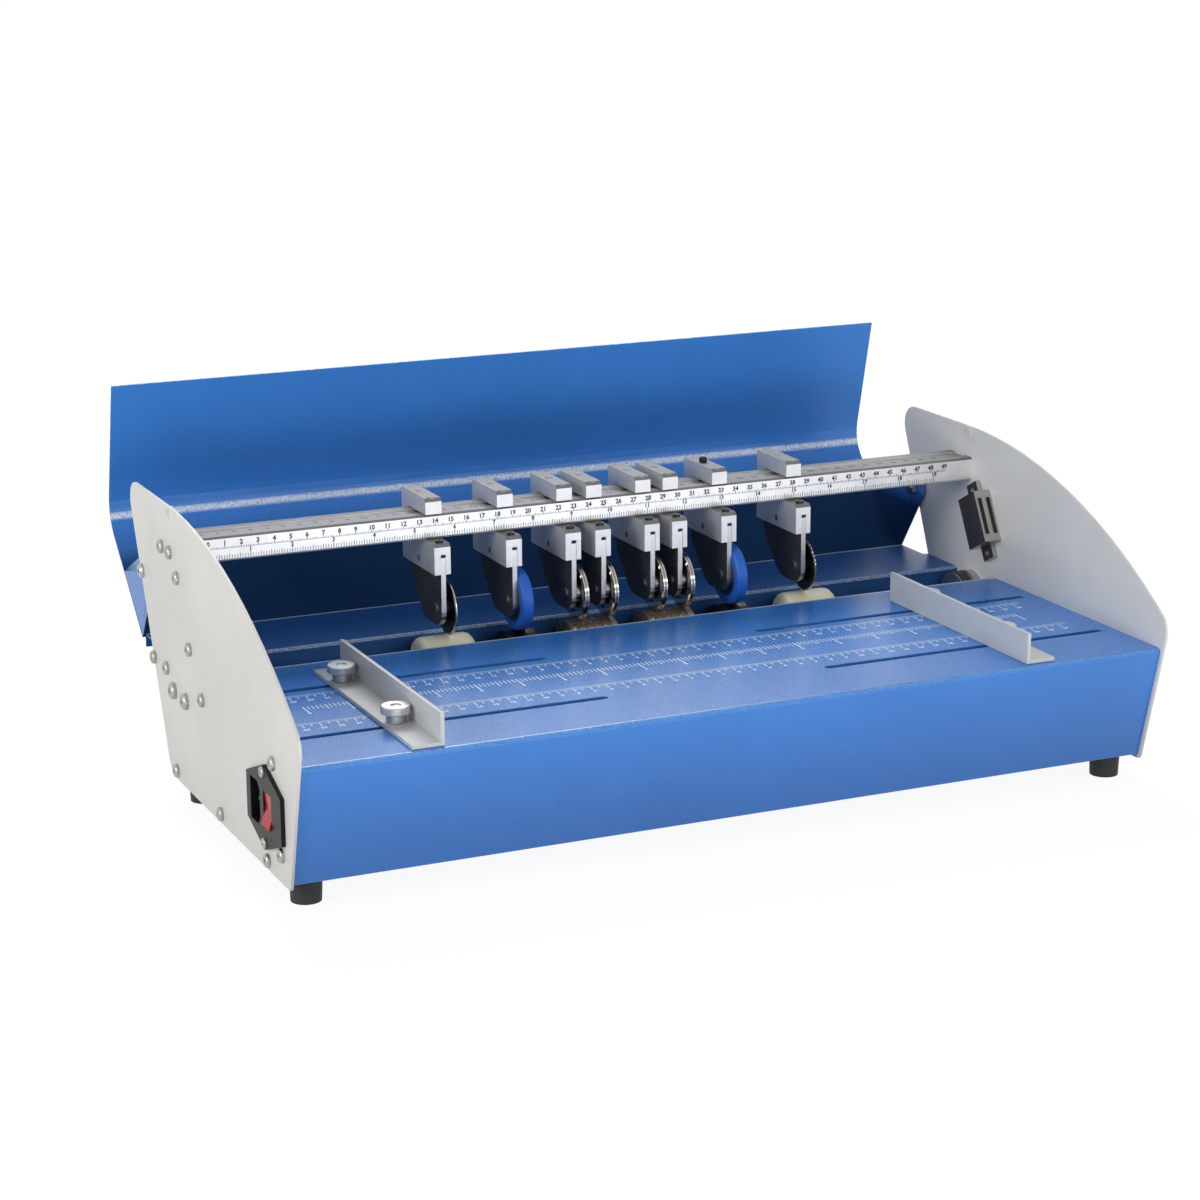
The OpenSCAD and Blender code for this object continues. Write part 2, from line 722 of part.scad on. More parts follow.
// Tool blocks, numbered from 0 at the left
function block_floor() = beam_lift - gap;
function block_jaw() = beam_top + gap;
module set_screw(p, low, high) {
    difference() {
        translate([p[0], p[1], low]) cylinder(h = high - low, r = clamp_r);
        translate([p[0], p[1], high - socket_deep])
            cylinder(h = socket_deep + over, r = socket_r, $fn = 6);
    }
}
module tool_block(i) {
    x = block_x(i);
    mid = x + block_w / 2;
    slot_x = x + arm_slot_left;
    clamp_top = i == 6 ? block_top + clamp_proud : block_jaw() + clamp_l;
    color("dimgray") place() {
        difference() {
            slab(x, block_w) polygon([
                [block_y[0], block_jaw()], [block_y[0], block_top - block_bevel],
                [block_y[0] + block_bevel, block_top], [block_y[1], block_top],
                [block_y[1], block_low], [block_front_y, block_low],
                [block_front_y, block_floor() - block_bevel],
                [block_front_y + block_bevel, block_floor()],
                [spine_gap_y, block_floor()], [spine_gap_y, block_jaw()]]);
            block([slot_x, block_front_y - over, block_low - over],
                [slot_x + arm_t + 2 * arm_slot_gap, arm_rear_y + arm_swing_gap, arm_slot_top]);
            rod(x - over, block_w + 2 * over, pin_r + fit_gap, [pin_y, pin_z]);
            for (y = clamp_y) translate([mid, y, block_jaw() - over])
                cylinder(h = block_top - block_jaw() + 2 * over, r = clamp_hole_r);
            translate([mid, front_screw_y, block_floor() + front_screw_proud - front_screw_l - gap])
                cylinder(h = front_screw_l + gap, r = clamp_hole_r);
        }
        rod(x, block_w, pin_r, [pin_y, pin_z]);
        set_screw([mid, clamp_y[1]], block_jaw(), clamp_top);
        set_screw([mid, front_screw_y], block_floor() + front_screw_proud - front_screw_l,
            block_floor() + front_screw_proud);
    }
}

// Tool arms: each hangs on the block's pin, with the wheel's axle riveted into its foot
module tool_arm(i) {
    x = block_x(i) + arm_slot_left + arm_slot_gap;
    axle_l = arm_t + wheel_w + 2 * wheel_gap;
    axle = [shaft_y, axle_z];
    path = [[arm_front_y, arm_front_top], [arm_front_y, arm_low], [arm_heel_y, arm_low],
        [arm_rear_y, arm_hip_z], [arm_rear_y, arm_slot_top - gap]];
    color("darkslategray") place() difference() {
        union() {
            slab(x, arm_t) polygon(rounded(path, [0, arm_toe_r, arm_heel_r, arm_hip_r, 0]));
            rod(x - rivet_h, rivet_h, rivet_r, axle);
            rod(x, axle_l, axle_r, axle);
            rod(x + axle_l, cap_h, cap_r, axle);
        }
        rod(x - over, arm_t + 2 * over, pin_r + fit_gap, [pin_y, pin_z]);
    }
}

// A wheel's section, radius against width, turned about the axle of tool i
module turned_wheel(i) {
    translate([wheel_x(i), shaft_y, axle_z]) rotate([0, 90, 0]) rotate_extrude() children();
}
module wheel_bore(i) {
    rod(wheel_x(i) - over, wheel_w + 2 * over, axle_r + fit_gap, [shaft_y, axle_z]);
}
module feed_wheel(i) {
    place() {
        color("silver") difference() {
            turned_wheel(i) polygon([[0, 0], [tyre_r, 0], [tyre_r, wheel_w], [0, wheel_w]]);
            wheel_bore(i);
        }
        color("royalblue") turned_wheel(i) polygon([
            [tyre_r + fit_gap, 0], [feed_r - tyre_edge, 0], [feed_r, tyre_edge],
            [feed_r, wheel_w - tyre_edge], [feed_r - tyre_edge, wheel_w],
            [tyre_r + fit_gap, wheel_w]]);
    }
}
module creasing_wheel(i) {
    mid = wheel_w / 2;
    rim = crease_rim_w / 2;
    web = crease_web_w / 2;
    groove = crease_groove_w / 2;
    color("silver") place() difference() {
        turned_wheel(i) polygon([
            [0, 0], [hub_r, 0], [hub_r, mid - web], [crease_dish_r, mid - web],
            [crease_dish_r, mid - rim], [crease_r - crease_groove_deep, mid - rim],
            [crease_r, mid - groove - crease_groove_deep / 2], [crease_r, mid - groove],
            [crease_r - crease_groove_deep, mid], [crease_r, mid + groove],
            [crease_r, mid + groove + crease_groove_deep / 2],
            [crease_r - crease_groove_deep, mid + rim], [crease_dish_r, mid + rim],
            [crease_dish_r, mid + web], [hub_r, mid + web], [hub_r, wheel_w], [0, wheel_w]]);
        wheel_bore(i);
    }
}
module disc_blank(i) {
    mid = wheel_w / 2;
    turned_wheel(i) polygon([
        [0, 0], [hub_r, 0], [hub_r, mid - disc_t / 2], [cut_r - disc_bevel, mid - disc_t / 2],
        [cut_r, mid - disc_edge / 2], [cut_r, mid + disc_edge / 2],
        [cut_r - disc_bevel, mid + disc_t / 2], [hub_r, mid + disc_t / 2], [hub_r, wheel_w],
        [0, wheel_w]]);
}
module cutting_wheel() {
    color("dimgray") place() difference() {
        disc_blank(0);
        wheel_bore(0);
    }
}
module perforating_wheel() {
    color("dimgray") place() difference() {
        disc_blank(7);
        wheel_bore(7);
        translate([wheel_x(7), shaft_y, axle_z]) for (k = [1 : tooth_count])
            rotate([k * 360 / tooth_count, 0, 0])
                block([-over, -tooth_w / 2, cut_r - tooth_deep],
                    [wheel_w + over, tooth_w / 2, cut_r + over]);
    }
}

// Driven shaft, its bearings and the rollers fixed on it
module roller(x, l, section) {
    translate([x, shaft_y, shaft_h]) rotate([0, 90, 0]) difference() {
        rotate_extrude() polygon(section);
        translate([0, 0, -over]) cylinder(h = l + 2 * over, r = shaft_r + fit_gap);
    }
}
function round_end(r, e) = [for (a = [0 : round_step : quarter_turn])
    [r - e * (1 - sin(a)), e * (1 - cos(a))]];
function round_ended(l, r, e) = concat([[0, 0]], round_end(r, e),
    [for (a = [quarter_turn : -round_step : 0]) [r - e * (1 - sin(a)), l - e * (1 - cos(a))]], [[0, l]]);
function grooved(l, r, places, w, deep) = concat([[0, 0], [r, 0]],
    [for (g = places) each [[r, g - w / 2], [r - deep, g - w / 4], [r - deep, g + w / 4], [r, g + w / 2]]],
    [[r, l], [0, l]]);
module lower_shaft() {
    color("silver") place() rod(-in_x + shaft_end_gap, in_w - 2 * shaft_end_gap, shaft_r, [shaft_y, shaft_h]);
}
module shaft_bearings() {
    color("slategray") place() for (side = [0, 1]) mirror([side, 0, 0]) difference() {
        rod(in_x - bearing_t, bearing_t, bearing_r, [shaft_y, shaft_h]);
        rod(in_x - bearing_t - over, bearing_t + 2 * over, shaft_r + fit_gap, [shaft_y, shaft_h]);
        for (p = bearing_bolts())
            rod(in_x - bearing_t - over, bearing_t + 2 * over, bolt_r + hole_gap, p);
    }
}
module nylon_rollers() {
    color("whitesmoke") place() for (share = nylon_share)
        roller(share * in_w - nylon_l / 2, nylon_l, round_ended(nylon_l, nylon_r, nylon_round));
}
module steel_rollers() {
    color("dimgray") place() for (i = [1, 6])
        roller(wheel_x(i) + wheel_w / 2 - steel_l / 2, steel_l,
            grooved(steel_l, steel_r, [for (k = [1, 2]) k * steel_l / 3], steel_groove_w,
                roller_groove_deep));
}
module creasing_rollers() {
    mid = crease_l / 2;
    places = [for (k = [1 : roller_grooves])
        mid + (k - (roller_grooves + 1) / 2) * roller_groove_pitch];
    color("rosybrown") place() for (share = creaser_share)
        roller(share * in_w - mid, crease_l,
            grooved(crease_l, crease_roller_r, places, roller_groove_w, roller_groove_deep));
}

// Belt drive under the table's right end
module belt_pulley(r, p, bore) {
    difference() {
        union() {
            rod(pulley_x, pulley_w, r, p);
            for (x = [pulley_x - pulley_rim, pulley_x + pulley_w])
                rod(x, pulley_rim, r + pulley_rim_up, p);
        }
        rod(pulley_x - pulley_rim - over, pulley_w + 2 * pulley_rim + 2 * over, bore, p);
    }
}
module drive_pulley() {
    color("dimgray") place() belt_pulley(pulley_r, [shaft_y, shaft_h], shaft_r + fit_gap);
}
module motor_pulley() {
    p = [motor_y, motor_z];
    end = pulley_x + pulley_w + pulley_rim;
    color("dimgray") place() {
        belt_pulley(motor_pulley_r, p, motor_shaft_r + fit_gap);
        rod(bracket_x - motor_bore_l + gap, end - bracket_x + motor_bore_l - gap, motor_shaft_r, p);
    }
}
module drive_motor() {
    p = [motor_y, motor_z];
    color("silver") place() difference() {
        union() {
            rod(bracket_x - motor_l, motor_l, motor_r, p);
            rod(bracket_x - motor_l - motor_cap_l, motor_cap_l, motor_cap_r, p);
        }
        rod(bracket_x - motor_bore_l, motor_bore_l + over, motor_shaft_r + fit_gap, p);
    }
}
module motor_bracket() {
    low = [motor_y - bracket_w / 2, tray_h];
    high = [motor_y + bracket_w / 2, motor_z + bracket_up];
    outline = [low, [high[0], low[1]], high, [low[0], high[1]]];
    color("silver") place() difference() {
        union() {
            slab(bracket_x, bracket_t)
                polygon(rounded(outline, [0, 0, bracket_corner_r, bracket_corner_r]));
            block([bracket_x, low[0], tray_h],
                [bracket_x + bracket_foot_l, high[0], tray_h + bracket_t]);
        }
        rod(bracket_x - over, bracket_t + 2 * over, motor_shaft_r + gap, [motor_y, motor_z]);
    }
}
// Points of the belt's outline, a distance off both pulleys
function belt_outline(extra) = let (
    a = [shaft_y, shaft_h],
    b = [motor_y, motor_z],
    big = pulley_r + extra,
    small = motor_pulley_r + extra,
    way = atan2(b[1] - a[1], b[0] - a[0]),
    lean = acos((big - small) / norm(b - a))
) concat(round_points(a, big, way + lean, 360 - 2 * lean),
    round_points(b, small, way - lean, 2 * lean));
module drive_belt() {
    color("black") place() slab(pulley_x + gap, pulley_w - 2 * gap) difference() {
        polygon(belt_outline(gap + belt_t));
        polygon(belt_outline(gap));
    }
}

// Side guides, 0 on the left and 1 on the right: an angle whose foot is clamped to the table
module guide(i) {
    back = guide_back(i);
    low_y = guide_y;
    high_y = guide_y + guide_l;
    color("gainsboro") place() difference() {
        translate([guide_face(i), 0, 0]) mirror([back < 0 ? 1 : 0, 0, 0]) {
            block([0, low_y, guide_floor()], [guide_t, high_y, table_h + guide_up]);
            block([guide_t, low_y, guide_floor()], [guide_flange, high_y, guide_floor() + guide_t]);
        }
        for (y = slot_y) translate([knob_x(i), y, guide_floor() - over])
            cylinder(h = guide_t + 2 * over, r = stud_r + hole_gap);
    }
}
module guide_nuts(i) {
    top = table_under - gap;
    color("silver") place() for (y = slot_y) difference() {
        block([knob_x(i) - nut_w / 2, y - nut_w / 2, top - nut_h],
            [knob_x(i) + nut_w / 2, y + nut_w / 2, top]);
        translate([knob_x(i), y, top - nut_h - over])
            cylinder(h = nut_h + 2 * over, r = stud_r + fit_gap);
    }
}
module knob(i, y) {
    base = guide_floor() + guide_t + gap;
    head = base + collar_h;
    low = table_under - gap - nut_h - stud_below;
    color("silver") place() translate([knob_x(i), y, 0]) {
        translate([0, 0, low]) cylinder(h = base - low, r = stud_r);
        difference() {
            rotate_extrude() polygon([
                [0, base], [collar_r, base], [collar_r, head], [knob_r - knob_bevel, head],
                [knob_r, head + knob_bevel], [knob_r, head + knob_h - knob_bevel],
                [knob_r - knob_bevel, head + knob_h], [knob_dimple_r, head + knob_h],
                [knob_dimple_r, head + knob_h - knob_dimple_deep],
                [0, head + knob_h - knob_dimple_deep]]);
            for (k = [1 : knurls]) rotate([0, 0, k * 360 / knurls])
                translate([knob_r, 0, head - over]) rotate([0, 0, 45])
                    block([-knurl_deep, -knurl_deep, 0], [knurl_deep, knurl_deep, knob_h + 2 * over]);
        }
    }
}

// Mains inlet: a flanged body with a pin socket at the rear and the rocker switch at the front
module inlet_box(x, mid, size, deep) {
    block([x, mid[0] - size[0] / 2, mid[1] - size[1] / 2],
        [x + deep, mid[0] + size[0] / 2, mid[1] + size[1] / 2]);
}
module power_inlet() {
    face = -half_w - inlet_t;
    rocker = [inlet_y + rocker_y, inlet_z];
    socket = [inlet_y + socket_y, inlet_z];
    low = socket - socket_size / 2;
    high = socket + socket_size / 2;
    color("dimgray") place() difference() {
        union() {
            slab(face, inlet_t) translate([inlet_y, inlet_z]) polygon([
                [0, inlet_half_z], [inlet_half_y, inlet_side_z], [inlet_half_y, -inlet_side_z],
                [0, -inlet_half_z], [-inlet_half_y, -inlet_side_z], [-inlet_half_y, inlet_side_z]]);
            inlet_box(-half_w, [inlet_y, inlet_z], inlet_body, inlet_deep);
        }
        slab(face - over, socket_hole_deep + over) polygon([
            [low[0], low[1] + socket_cut], [low[0] + socket_cut, low[1]], [high[0], low[1]], high,
            [low[0] + socket_cut, high[1]], [low[0], high[1] - socket_cut]]);
        inlet_box(face - over, rocker, [rocker_size[0] + 2 * arm_slot_gap, rocker_window],
            rocker_deep + over);
        translate([face + rocker_axis_deep, rocker[0] + rocker_size[0] / 2 + rocker_pin_l + gap, inlet_z])
            rotate([90, 0, 0])
                cylinder(h = rocker_size[0] + 2 * (rocker_pin_l + gap), r = rocker_pin_r + fit_gap);
        for (s = [-1, 1]) rod(face - over, inlet_t + 2 * over, inlet_shank_r + hole_gap,
            [inlet_y, inlet_z + s * inlet_screw_z]);
    }
}
module inlet_pins() {
    floor_x = -half_w - inlet_t + socket_hole_deep;
    socket = [inlet_y + socket_y, inlet_z];
    color("silver") place() for (k = [-1, 0, 1]) {
        p = socket + [k == 0 ? socket_earth_y : -socket_earth_y, k * socket_pin_step];
        inlet_box(floor_x - socket_pin_l, p, socket_pin, socket_pin_l);
        inlet_box(-half_w + inlet_deep, p, socket_pin, socket_tab_l);
    }
}
module inlet_screws() {
    face = -half_w - inlet_t;
    color("silver") place() for (s = [-1, 1]) {
        p = [inlet_y, inlet_z + s * inlet_screw_z];
        rod(face, inlet_shank_l, inlet_shank_r, p);
        difference() {
            rod(face - inlet_head_h, inlet_head_h, inlet_screw_r, p);
            rod(face - inlet_head_h - over, over + inlet_head_h / 2, inlet_shank_r / 2, p);
        }
    }
}
module rocker_switch() {
    half = rocker_size[1] / 2;
    color("firebrick") place()
        translate([-half_w - inlet_t + rocker_axis_deep, inlet_y + rocker_y, inlet_z])
            rotate([0, rocker_tilt, 0]) rotate([90, 0, 0]) {
                translate([0, 0, -rocker_size[0] / 2]) linear_extrude(rocker_size[0]) polygon([
                    [-rocker_lip, half], [-rocker_waist, 0], [-rocker_lip, -half],
                    [rocker_waist, rocker_waist - half], [rocker_root[1], -rocker_root[0]],
                    [rocker_root[1], rocker_root[0]], [rocker_waist, half - rocker_waist]]);
                translate([0, 0, -rocker_size[0] / 2 - rocker_pin_l])
                    cylinder(h = rocker_size[0] + 2 * rocker_pin_l, r = rocker_pin_r);
            }
}

module left_guide() { guide(0); }
module right_guide() { guide(1); }
module left_guide_nuts() { guide_nuts(0); }
module right_guide_nuts() { guide_nuts(1); }
module left_front_knob() { knob(0, slot_y[0]); }
module left_rear_knob() { knob(0, slot_y[1]); }
module right_front_knob() { knob(1, slot_y[0]); }
module right_rear_knob() { knob(1, slot_y[1]); }

left_side_plate();
right_side_plate();
infeed_table();
bottom_tray();
rear_ledge();
rear_panel();
cover();
cover_pivot_pins();
cover_bumpers();
catch_magnets();
ruler_beam();
side_plate_screws();
bearing_screws();
rubber_feet();
power_inlet();
inlet_pins();
inlet_screws();
rocker_switch();
left_guide();
right_guide();
left_guide_nuts();
right_guide_nuts();
left_front_knob();
left_rear_knob();
right_front_knob();
right_rear_knob();
tool_block(0);  // tool_block_1
tool_block(1);  // tool_block_2
tool_block(2);  // tool_block_3
tool_block(3);  // tool_block_4
tool_block(4);  // tool_block_5
tool_block(5);  // tool_block_6
tool_block(6);  // tool_block_7
tool_block(7);  // tool_block_8
tool_arm(0);  // tool_arm_1
tool_arm(1);  // tool_arm_2
tool_arm(2);  // tool_arm_3
tool_arm(3);  // tool_arm_4
tool_arm(4);  // tool_arm_5
tool_arm(5);  // tool_arm_6
tool_arm(6);  // tool_arm_7
tool_arm(7);  // tool_arm_8
cutting_wheel();
feed_wheel(1);  // left_feed_wheel
creasing_wheel(2);  // creasing_wheel_1
creasing_wheel(3);  // creasing_wheel_2
creasing_wheel(4);  // creasing_wheel_3
creasing_wheel(5);  // creasing_wheel_4
feed_wheel(6);  // right_feed_wheel
perforating_wheel();
lower_shaft();
shaft_bearings();
nylon_rollers();
steel_rollers();
creasing_rollers();
drive_pulley();
drive_motor();
motor_bracket();
motor_pulley();
drive_belt();
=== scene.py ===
"""Looks of an electric creasing machine: finishes, printed rulers, screws, floor and camera."""

import math

import bpy
from mathutils import Matrix, Vector


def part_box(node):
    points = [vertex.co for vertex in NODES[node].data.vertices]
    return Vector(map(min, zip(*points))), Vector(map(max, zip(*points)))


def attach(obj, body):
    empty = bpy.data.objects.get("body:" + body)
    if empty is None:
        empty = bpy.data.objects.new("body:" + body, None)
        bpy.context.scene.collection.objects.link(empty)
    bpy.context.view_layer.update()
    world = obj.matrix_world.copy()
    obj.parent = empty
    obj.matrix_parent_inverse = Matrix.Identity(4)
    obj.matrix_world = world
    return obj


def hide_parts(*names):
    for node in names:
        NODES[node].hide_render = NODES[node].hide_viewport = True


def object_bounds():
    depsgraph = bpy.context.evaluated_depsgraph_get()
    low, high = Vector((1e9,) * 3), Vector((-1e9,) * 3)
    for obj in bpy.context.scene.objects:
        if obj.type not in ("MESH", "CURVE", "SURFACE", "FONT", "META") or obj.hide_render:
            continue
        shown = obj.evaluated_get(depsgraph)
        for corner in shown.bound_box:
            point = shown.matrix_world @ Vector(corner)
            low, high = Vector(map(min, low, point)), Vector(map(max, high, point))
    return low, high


bl_info = {
    "name": "Creasing machine",
    "version": (1, 0, 0),
    "blender": (4, 5, 0),
    "location": "View3D > Sidebar > Creaser",
    "description": "Finishes and prints of an electric creasing machine",
    "category": "Object",
}

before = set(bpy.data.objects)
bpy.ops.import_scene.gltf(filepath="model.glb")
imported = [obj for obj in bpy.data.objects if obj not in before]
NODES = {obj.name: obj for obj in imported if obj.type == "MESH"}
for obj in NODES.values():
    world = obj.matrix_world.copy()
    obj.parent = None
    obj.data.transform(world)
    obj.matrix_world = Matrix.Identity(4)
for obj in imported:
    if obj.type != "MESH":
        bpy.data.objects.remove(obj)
CAD_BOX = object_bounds()
MM = 0.001
CM = 10 * MM
INCH = 25.4 * MM
QUARTER_TURN = math.radians(90)

BEAM_LOW, BEAM_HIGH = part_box("ruler_beam")
TABLE_LOW, TABLE_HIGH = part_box("infeed_table")
INNER_WIDTH = BEAM_HIGH.x - BEAM_LOW.x
MID_X = (BEAM_LOW.x + BEAM_HIGH.x) / 2

GUIDE_NODES = ("left_guide", "right_guide")
KNOB_NODES = ("left_front_knob", "left_rear_knob", "right_front_knob", "right_rear_knob")
TOOL_COUNT = 8
CREASING_WHEELS = tuple(f"creasing_wheel_{i}" for i in range(1, 5))
FEED_WHEELS = ("left_feed_wheel", "right_feed_wheel")
TYRE_INNER = 13.5 * MM
RIM_WIDTH = 1.1 * MM
SMOOTH_BELOW = math.radians(35)
STEEL = (0.50, 0.49, 0.47)
WHITE = (1, 1, 1, 1)

# How far a face's normal points up where its sheet bends, and on a flat top
BEND_UP, TOP_UP = 0.25, 0.6

# Cover: its bend below its top, half the width of the painted highlight line along the bend, solid
# and faded out, how far below the bend its painted shade, a dark matt coat, is whole and begins,
# and the most of normal times X on an ear's inside
COVER_BEND = 84.8 * MM
HIGHLIGHT_SOLID, HIGHLIGHT_END = 0.9 * MM, 2.7 * MM
SHADE_WHOLE, SHADE_START = 29 * MM, 17 * MM
EAR_INWARD = -0.1

# Rear ledge: how far forward its painted highlight along the rear edge reaches, and the depth and
# height of the painted highlight on its front bend
LEDGE_EDGE = 4.5 * MM
LEDGE_NOSE_DEPTH, LEDGE_NOSE_HEIGHT = 2.2 * MM, 1.6 * MM

# Table: how far forward its painted highlight along the rear edge reaches, the depth and height
# of the painted highlight on its front fold, and for its printed bands their lowest and highest Y
# from its front, their margin at each end and their skin
TABLE_EDGE = 4.0 * MM
TABLE_FOLD_DEPTH, TABLE_FOLD_HEIGHT = 1.6 * MM, 1.2 * MM
TABLE_BANDS = ((70.5 * MM, 74.0 * MM), (122.5 * MM, 126.0 * MM))
BAND_MARGIN, BAND_SKIN = 19 * MM, 0.3 * MM

# Tool block, from its lowest corner: each set screw's Y and the height that it shows above, and
# the arm pin's Y and Z
SET_SCREWS = ((4.8 * MM, 13 * MM), (36.3 * MM, 32 * MM))
SET_SCREW_RADIUS = 2.45 * MM
PIN_Y, PIN_Z, PIN_RADIUS = 26.3 * MM, 5.1 * MM, 1.9 * MM

# Screw nodes: name, heads' radius and height, and recess as a share of the plates' screws'
SCREWS = (
    ("side_plate_screws", 4.0 * MM, 2.6 * MM, 1.0),
    ("bearing_screws", 4.9 * MM, 3.4 * MM, 1.3),
    ("inlet_screws", 3.0 * MM, 1.4 * MM, 0.8))
# Screws: the head's rounding and the recess's depth as shares of the head's height, the shank's
# radius and the recess's length as shares of the head's radius, the share of that length at the
# recess's bottom, and each head's turn past the last, in radians
HEAD_ROUND = 0.62
RECESS_DEPTH = 0.55
SHANK_SHARE = 0.5
RECESS_SPAN = 1.25
RECESS_FLOOR = 0.55
RECESS_TWIST = 1.17

# Least part of a face's normal along an axis for a face that looks along it
ALONG = 0.9

# How near points of one CAD solid, and of a print, are merged
CAD_MERGE, PRINT_MERGE = 0.001 * MM, 0.002 * MM

# Turn about X of a print on a front face and on a flat top
FRONT, FLAT = QUARTER_TURN, 0

# A digit's height as a share of its text's size, and its ink's spread as a share of its height
DIGIT_SHARE, INK_SPREAD = 0.69, 0.06

# Widths of printed lines as multiples of a tick's, and the long line's ink as one of the others'
CM_LINE, INCH_LINE, TABLE_LINE = 1.4, 1.5, 2.6
LONG_LINE, LONG_LINE_INK = 0.6, 0.8

# Rows of ruler lines, finest first: parts of a unit, a line's length and its boldness
BEAM_CM_ROWS = ((10, 0.9 * MM, 1.0), (2, 1.3 * MM, 1.2), (1, 1.8 * MM, 1.4))
BEAM_INCH_ROWS = ((16, 2.3 * MM, 1.0), (4, 2.9 * MM, 1.2), (1, 3.4 * MM, 1.4))
TABLE_CM_ROWS = ((2, 3.0 * MM, 1.0), (1, 4.6 * MM, 1.2))
TABLE_INCH_ROWS = ((10, 6.0 * MM, 1.0), (2, 8.0 * MM, 1.2), (1, 11.0 * MM, 1.4))

# Beam ruler: its centimetres and inches, its inch lines' foot above the beam's lower edge, and
# its digits' middles above and below the printed line
BEAM_CMS, BEAM_INCHES = 49, 19
INCH_FOOT = 1.35 * MM
CM_DIGIT_UP, INCH_DIGIT_DOWN = 3.15 * MM, 1.55 * MM

# Beam's top ruler: its groove's depth, its digits' height and Y from the beam's middle, and for
# each row its parts of a centimetre, its Y from the middle, its lines' length and its depth
GROOVE = 1.0 * MM
TOP_DIGIT, TOP_DIGIT_Y = 3.4 * MM, -1.0 * MM
TOP_ROWS = (
    (2, -9.8 * MM, 1.6 * MM, 0), (2, -5.6 * MM, 2.2 * MM, GROOVE), (1, 2.6 * MM, 2.8 * MM, GROOVE))

# Table ruler: half its centimetres and half its inches, its centimetre digits' Y from a band,
# and the Y of its inch lines' ends and of its inch digits from the table's front
HALF_CMS, HALF_INCHES = 24, 9
CM_DIGIT_Y = -8.3 * MM
INCH_TOP, INCH_DIGIT_Y = 103.0 * MM, 90.0 * MM

# Camera of the photo: its turn, tip and roll in degrees, its place and nearest sight in metres,
# and its lens and sensor in millimetres
CAMERA_ANGLES = (24.268, 14.897, -0.294)
CAMERA_PLACE = (-0.71635, -1.55868, 0.5582)
CAMERA_NEAREST = 0.05
CAMERA_LENS, CAMERA_SENSOR = 88.35, 36

# Floor: its size, its glow, the share of that near the machine, and from how far to how far
# from the middle that share grows to all
FLOOR_SIZE, FLOOR_GLOW, FLOOR_NEAR = 14, 1.1, 0.84
FLOOR_FADE = (0.9, 2.0)
# Strength of the light that the room throws on the machine
ROOM_LIGHT = 0.22

# Lamps: name, place, target, width and height, power
LAMPS = (
    ("floor_glow", (0.0, -1.35, 0.02), (0, -1.35, 1), (1.8, 1.8), 34.0),
    ("rear_softbox", (0.3, 1.35, 1.40), (0, -0.10, 0.08), (1.2, 0.9), 23.0),
    ("left_softbox", (-2.0, -0.7, 0.8), (0, 0, 0.10), (0.9, 0.9), 20.0),
    ("front_strip", (0.9, -2.2, 0.82), (0, 0, 0.12), (2.6, 0.3), 15.0))


def shade(name, text, rgb):
    """A colour property with its linear default."""
    return bpy.props.FloatVectorProperty(
        name=name, description=text, default=rgb, size=3, subtype="COLOR", min=0, max=1)


def size_of(name, text, value):
    """A length property."""
    return bpy.props.FloatProperty(
        name=name, description=text, default=value, subtype="DISTANCE", min=0)


class CreaserColours(bpy.types.PropertyGroup):
    """Colours of the machine's finishes."""

    sheet: shade("Blue sheets", "Powder coat of table, ledge, panel, tray", (0.046, 0.225, 0.680))
    cover: shade("Cover", "Powder coat of the cover", (0.042, 0.200, 0.600))
    plate: shade("Side plates", "Powder coat of the side plates", (0.700, 0.695, 0.665))
    guide: shade("Guides", "Powder coat of the side guides", (0.560, 0.575, 0.580))
    table_print: shade("Table print", "Ruler printed on the table", (0.70, 0.83, 0.96))
    beam_print: shade("Beam print", "Ruler printed on the beam", (0.010, 0.010, 0.012))
    tyre: shade("Feed tyres", "Rubber of the feed wheels", (0.012, 0.125, 0.560))
    nylon: shade("Nylon rollers", "Cream nylon of the counter rollers", (0.980, 0.915, 0.690))
    rocker: shade("Rocker", "Plastic of the mains switch", (0.480, 0.008, 0.010))


class CreaserSizes(bpy.types.PropertyGroup):
    """Sizes of the printed rulers and of the screws' recesses."""

    digit: size_of("Ruler digit", "Height of the beam's centimetre digits", 2.7 * MM)
    inch_digit: size_of("Inch digit", "Height of the beam's inch digits", 2.4 * MM)
    table_digit: size_of("Table digit", "Height of the table's digits", 2.6 * MM)
    ink: size_of("Ink", "Thickness of printed ink", 0.04 * MM)
    tick: size_of("Tick", "Width of a printed line", 0.22 * MM)
    zero_inset: size_of("Zero inset", "From the beam's left end to its zero", 19.7 * MM)
    line_up: size_of("Line height", "From the beam's lower edge to its printed line", 7.6 * MM)
    recess: size_of("Recess", "Width of a screw's cross recess", 0.9 * MM)


class Field:
    """A shader value: arithmetic on it adds Math nodes."""

    def __init__(self, shading, socket):
        self.shading = shading
        self.socket = socket

    def maths(self, operation, *values):
        return self.shading.node("ShaderNodeMath", {"operation": operation}, list(values))

    def __add__(self, other):
        return self.maths("ADD", self, other)

    __radd__ = __add__

    def __sub__(self, other):
        return self.maths("SUBTRACT", self, other)

    def __rsub__(self, other):
        return self.maths("SUBTRACT", other, self)

    def __mul__(self, other):
        return self.maths("MULTIPLY", self, other)

    __rmul__ = __mul__

    def above(self, edge):
        return self.maths("GREATER_THAN", self, edge)

    def below(self, edge):
        return self.maths("LESS_THAN", self, edge)

    def away(self):
        return self.maths("ABSOLUTE", self)

    def reach(self, other):
        """The distance that this value and another at right angles to it make."""
        return self.maths("SQRT", self * self + other * other)

    def ramp(self, low, high):
        """0 below low, 1 above high, and even between."""
        settings = {"clamp": True}
        return self.shading.node("ShaderNodeMapRange", settings, [self, low, high, 0.0, 1.0])


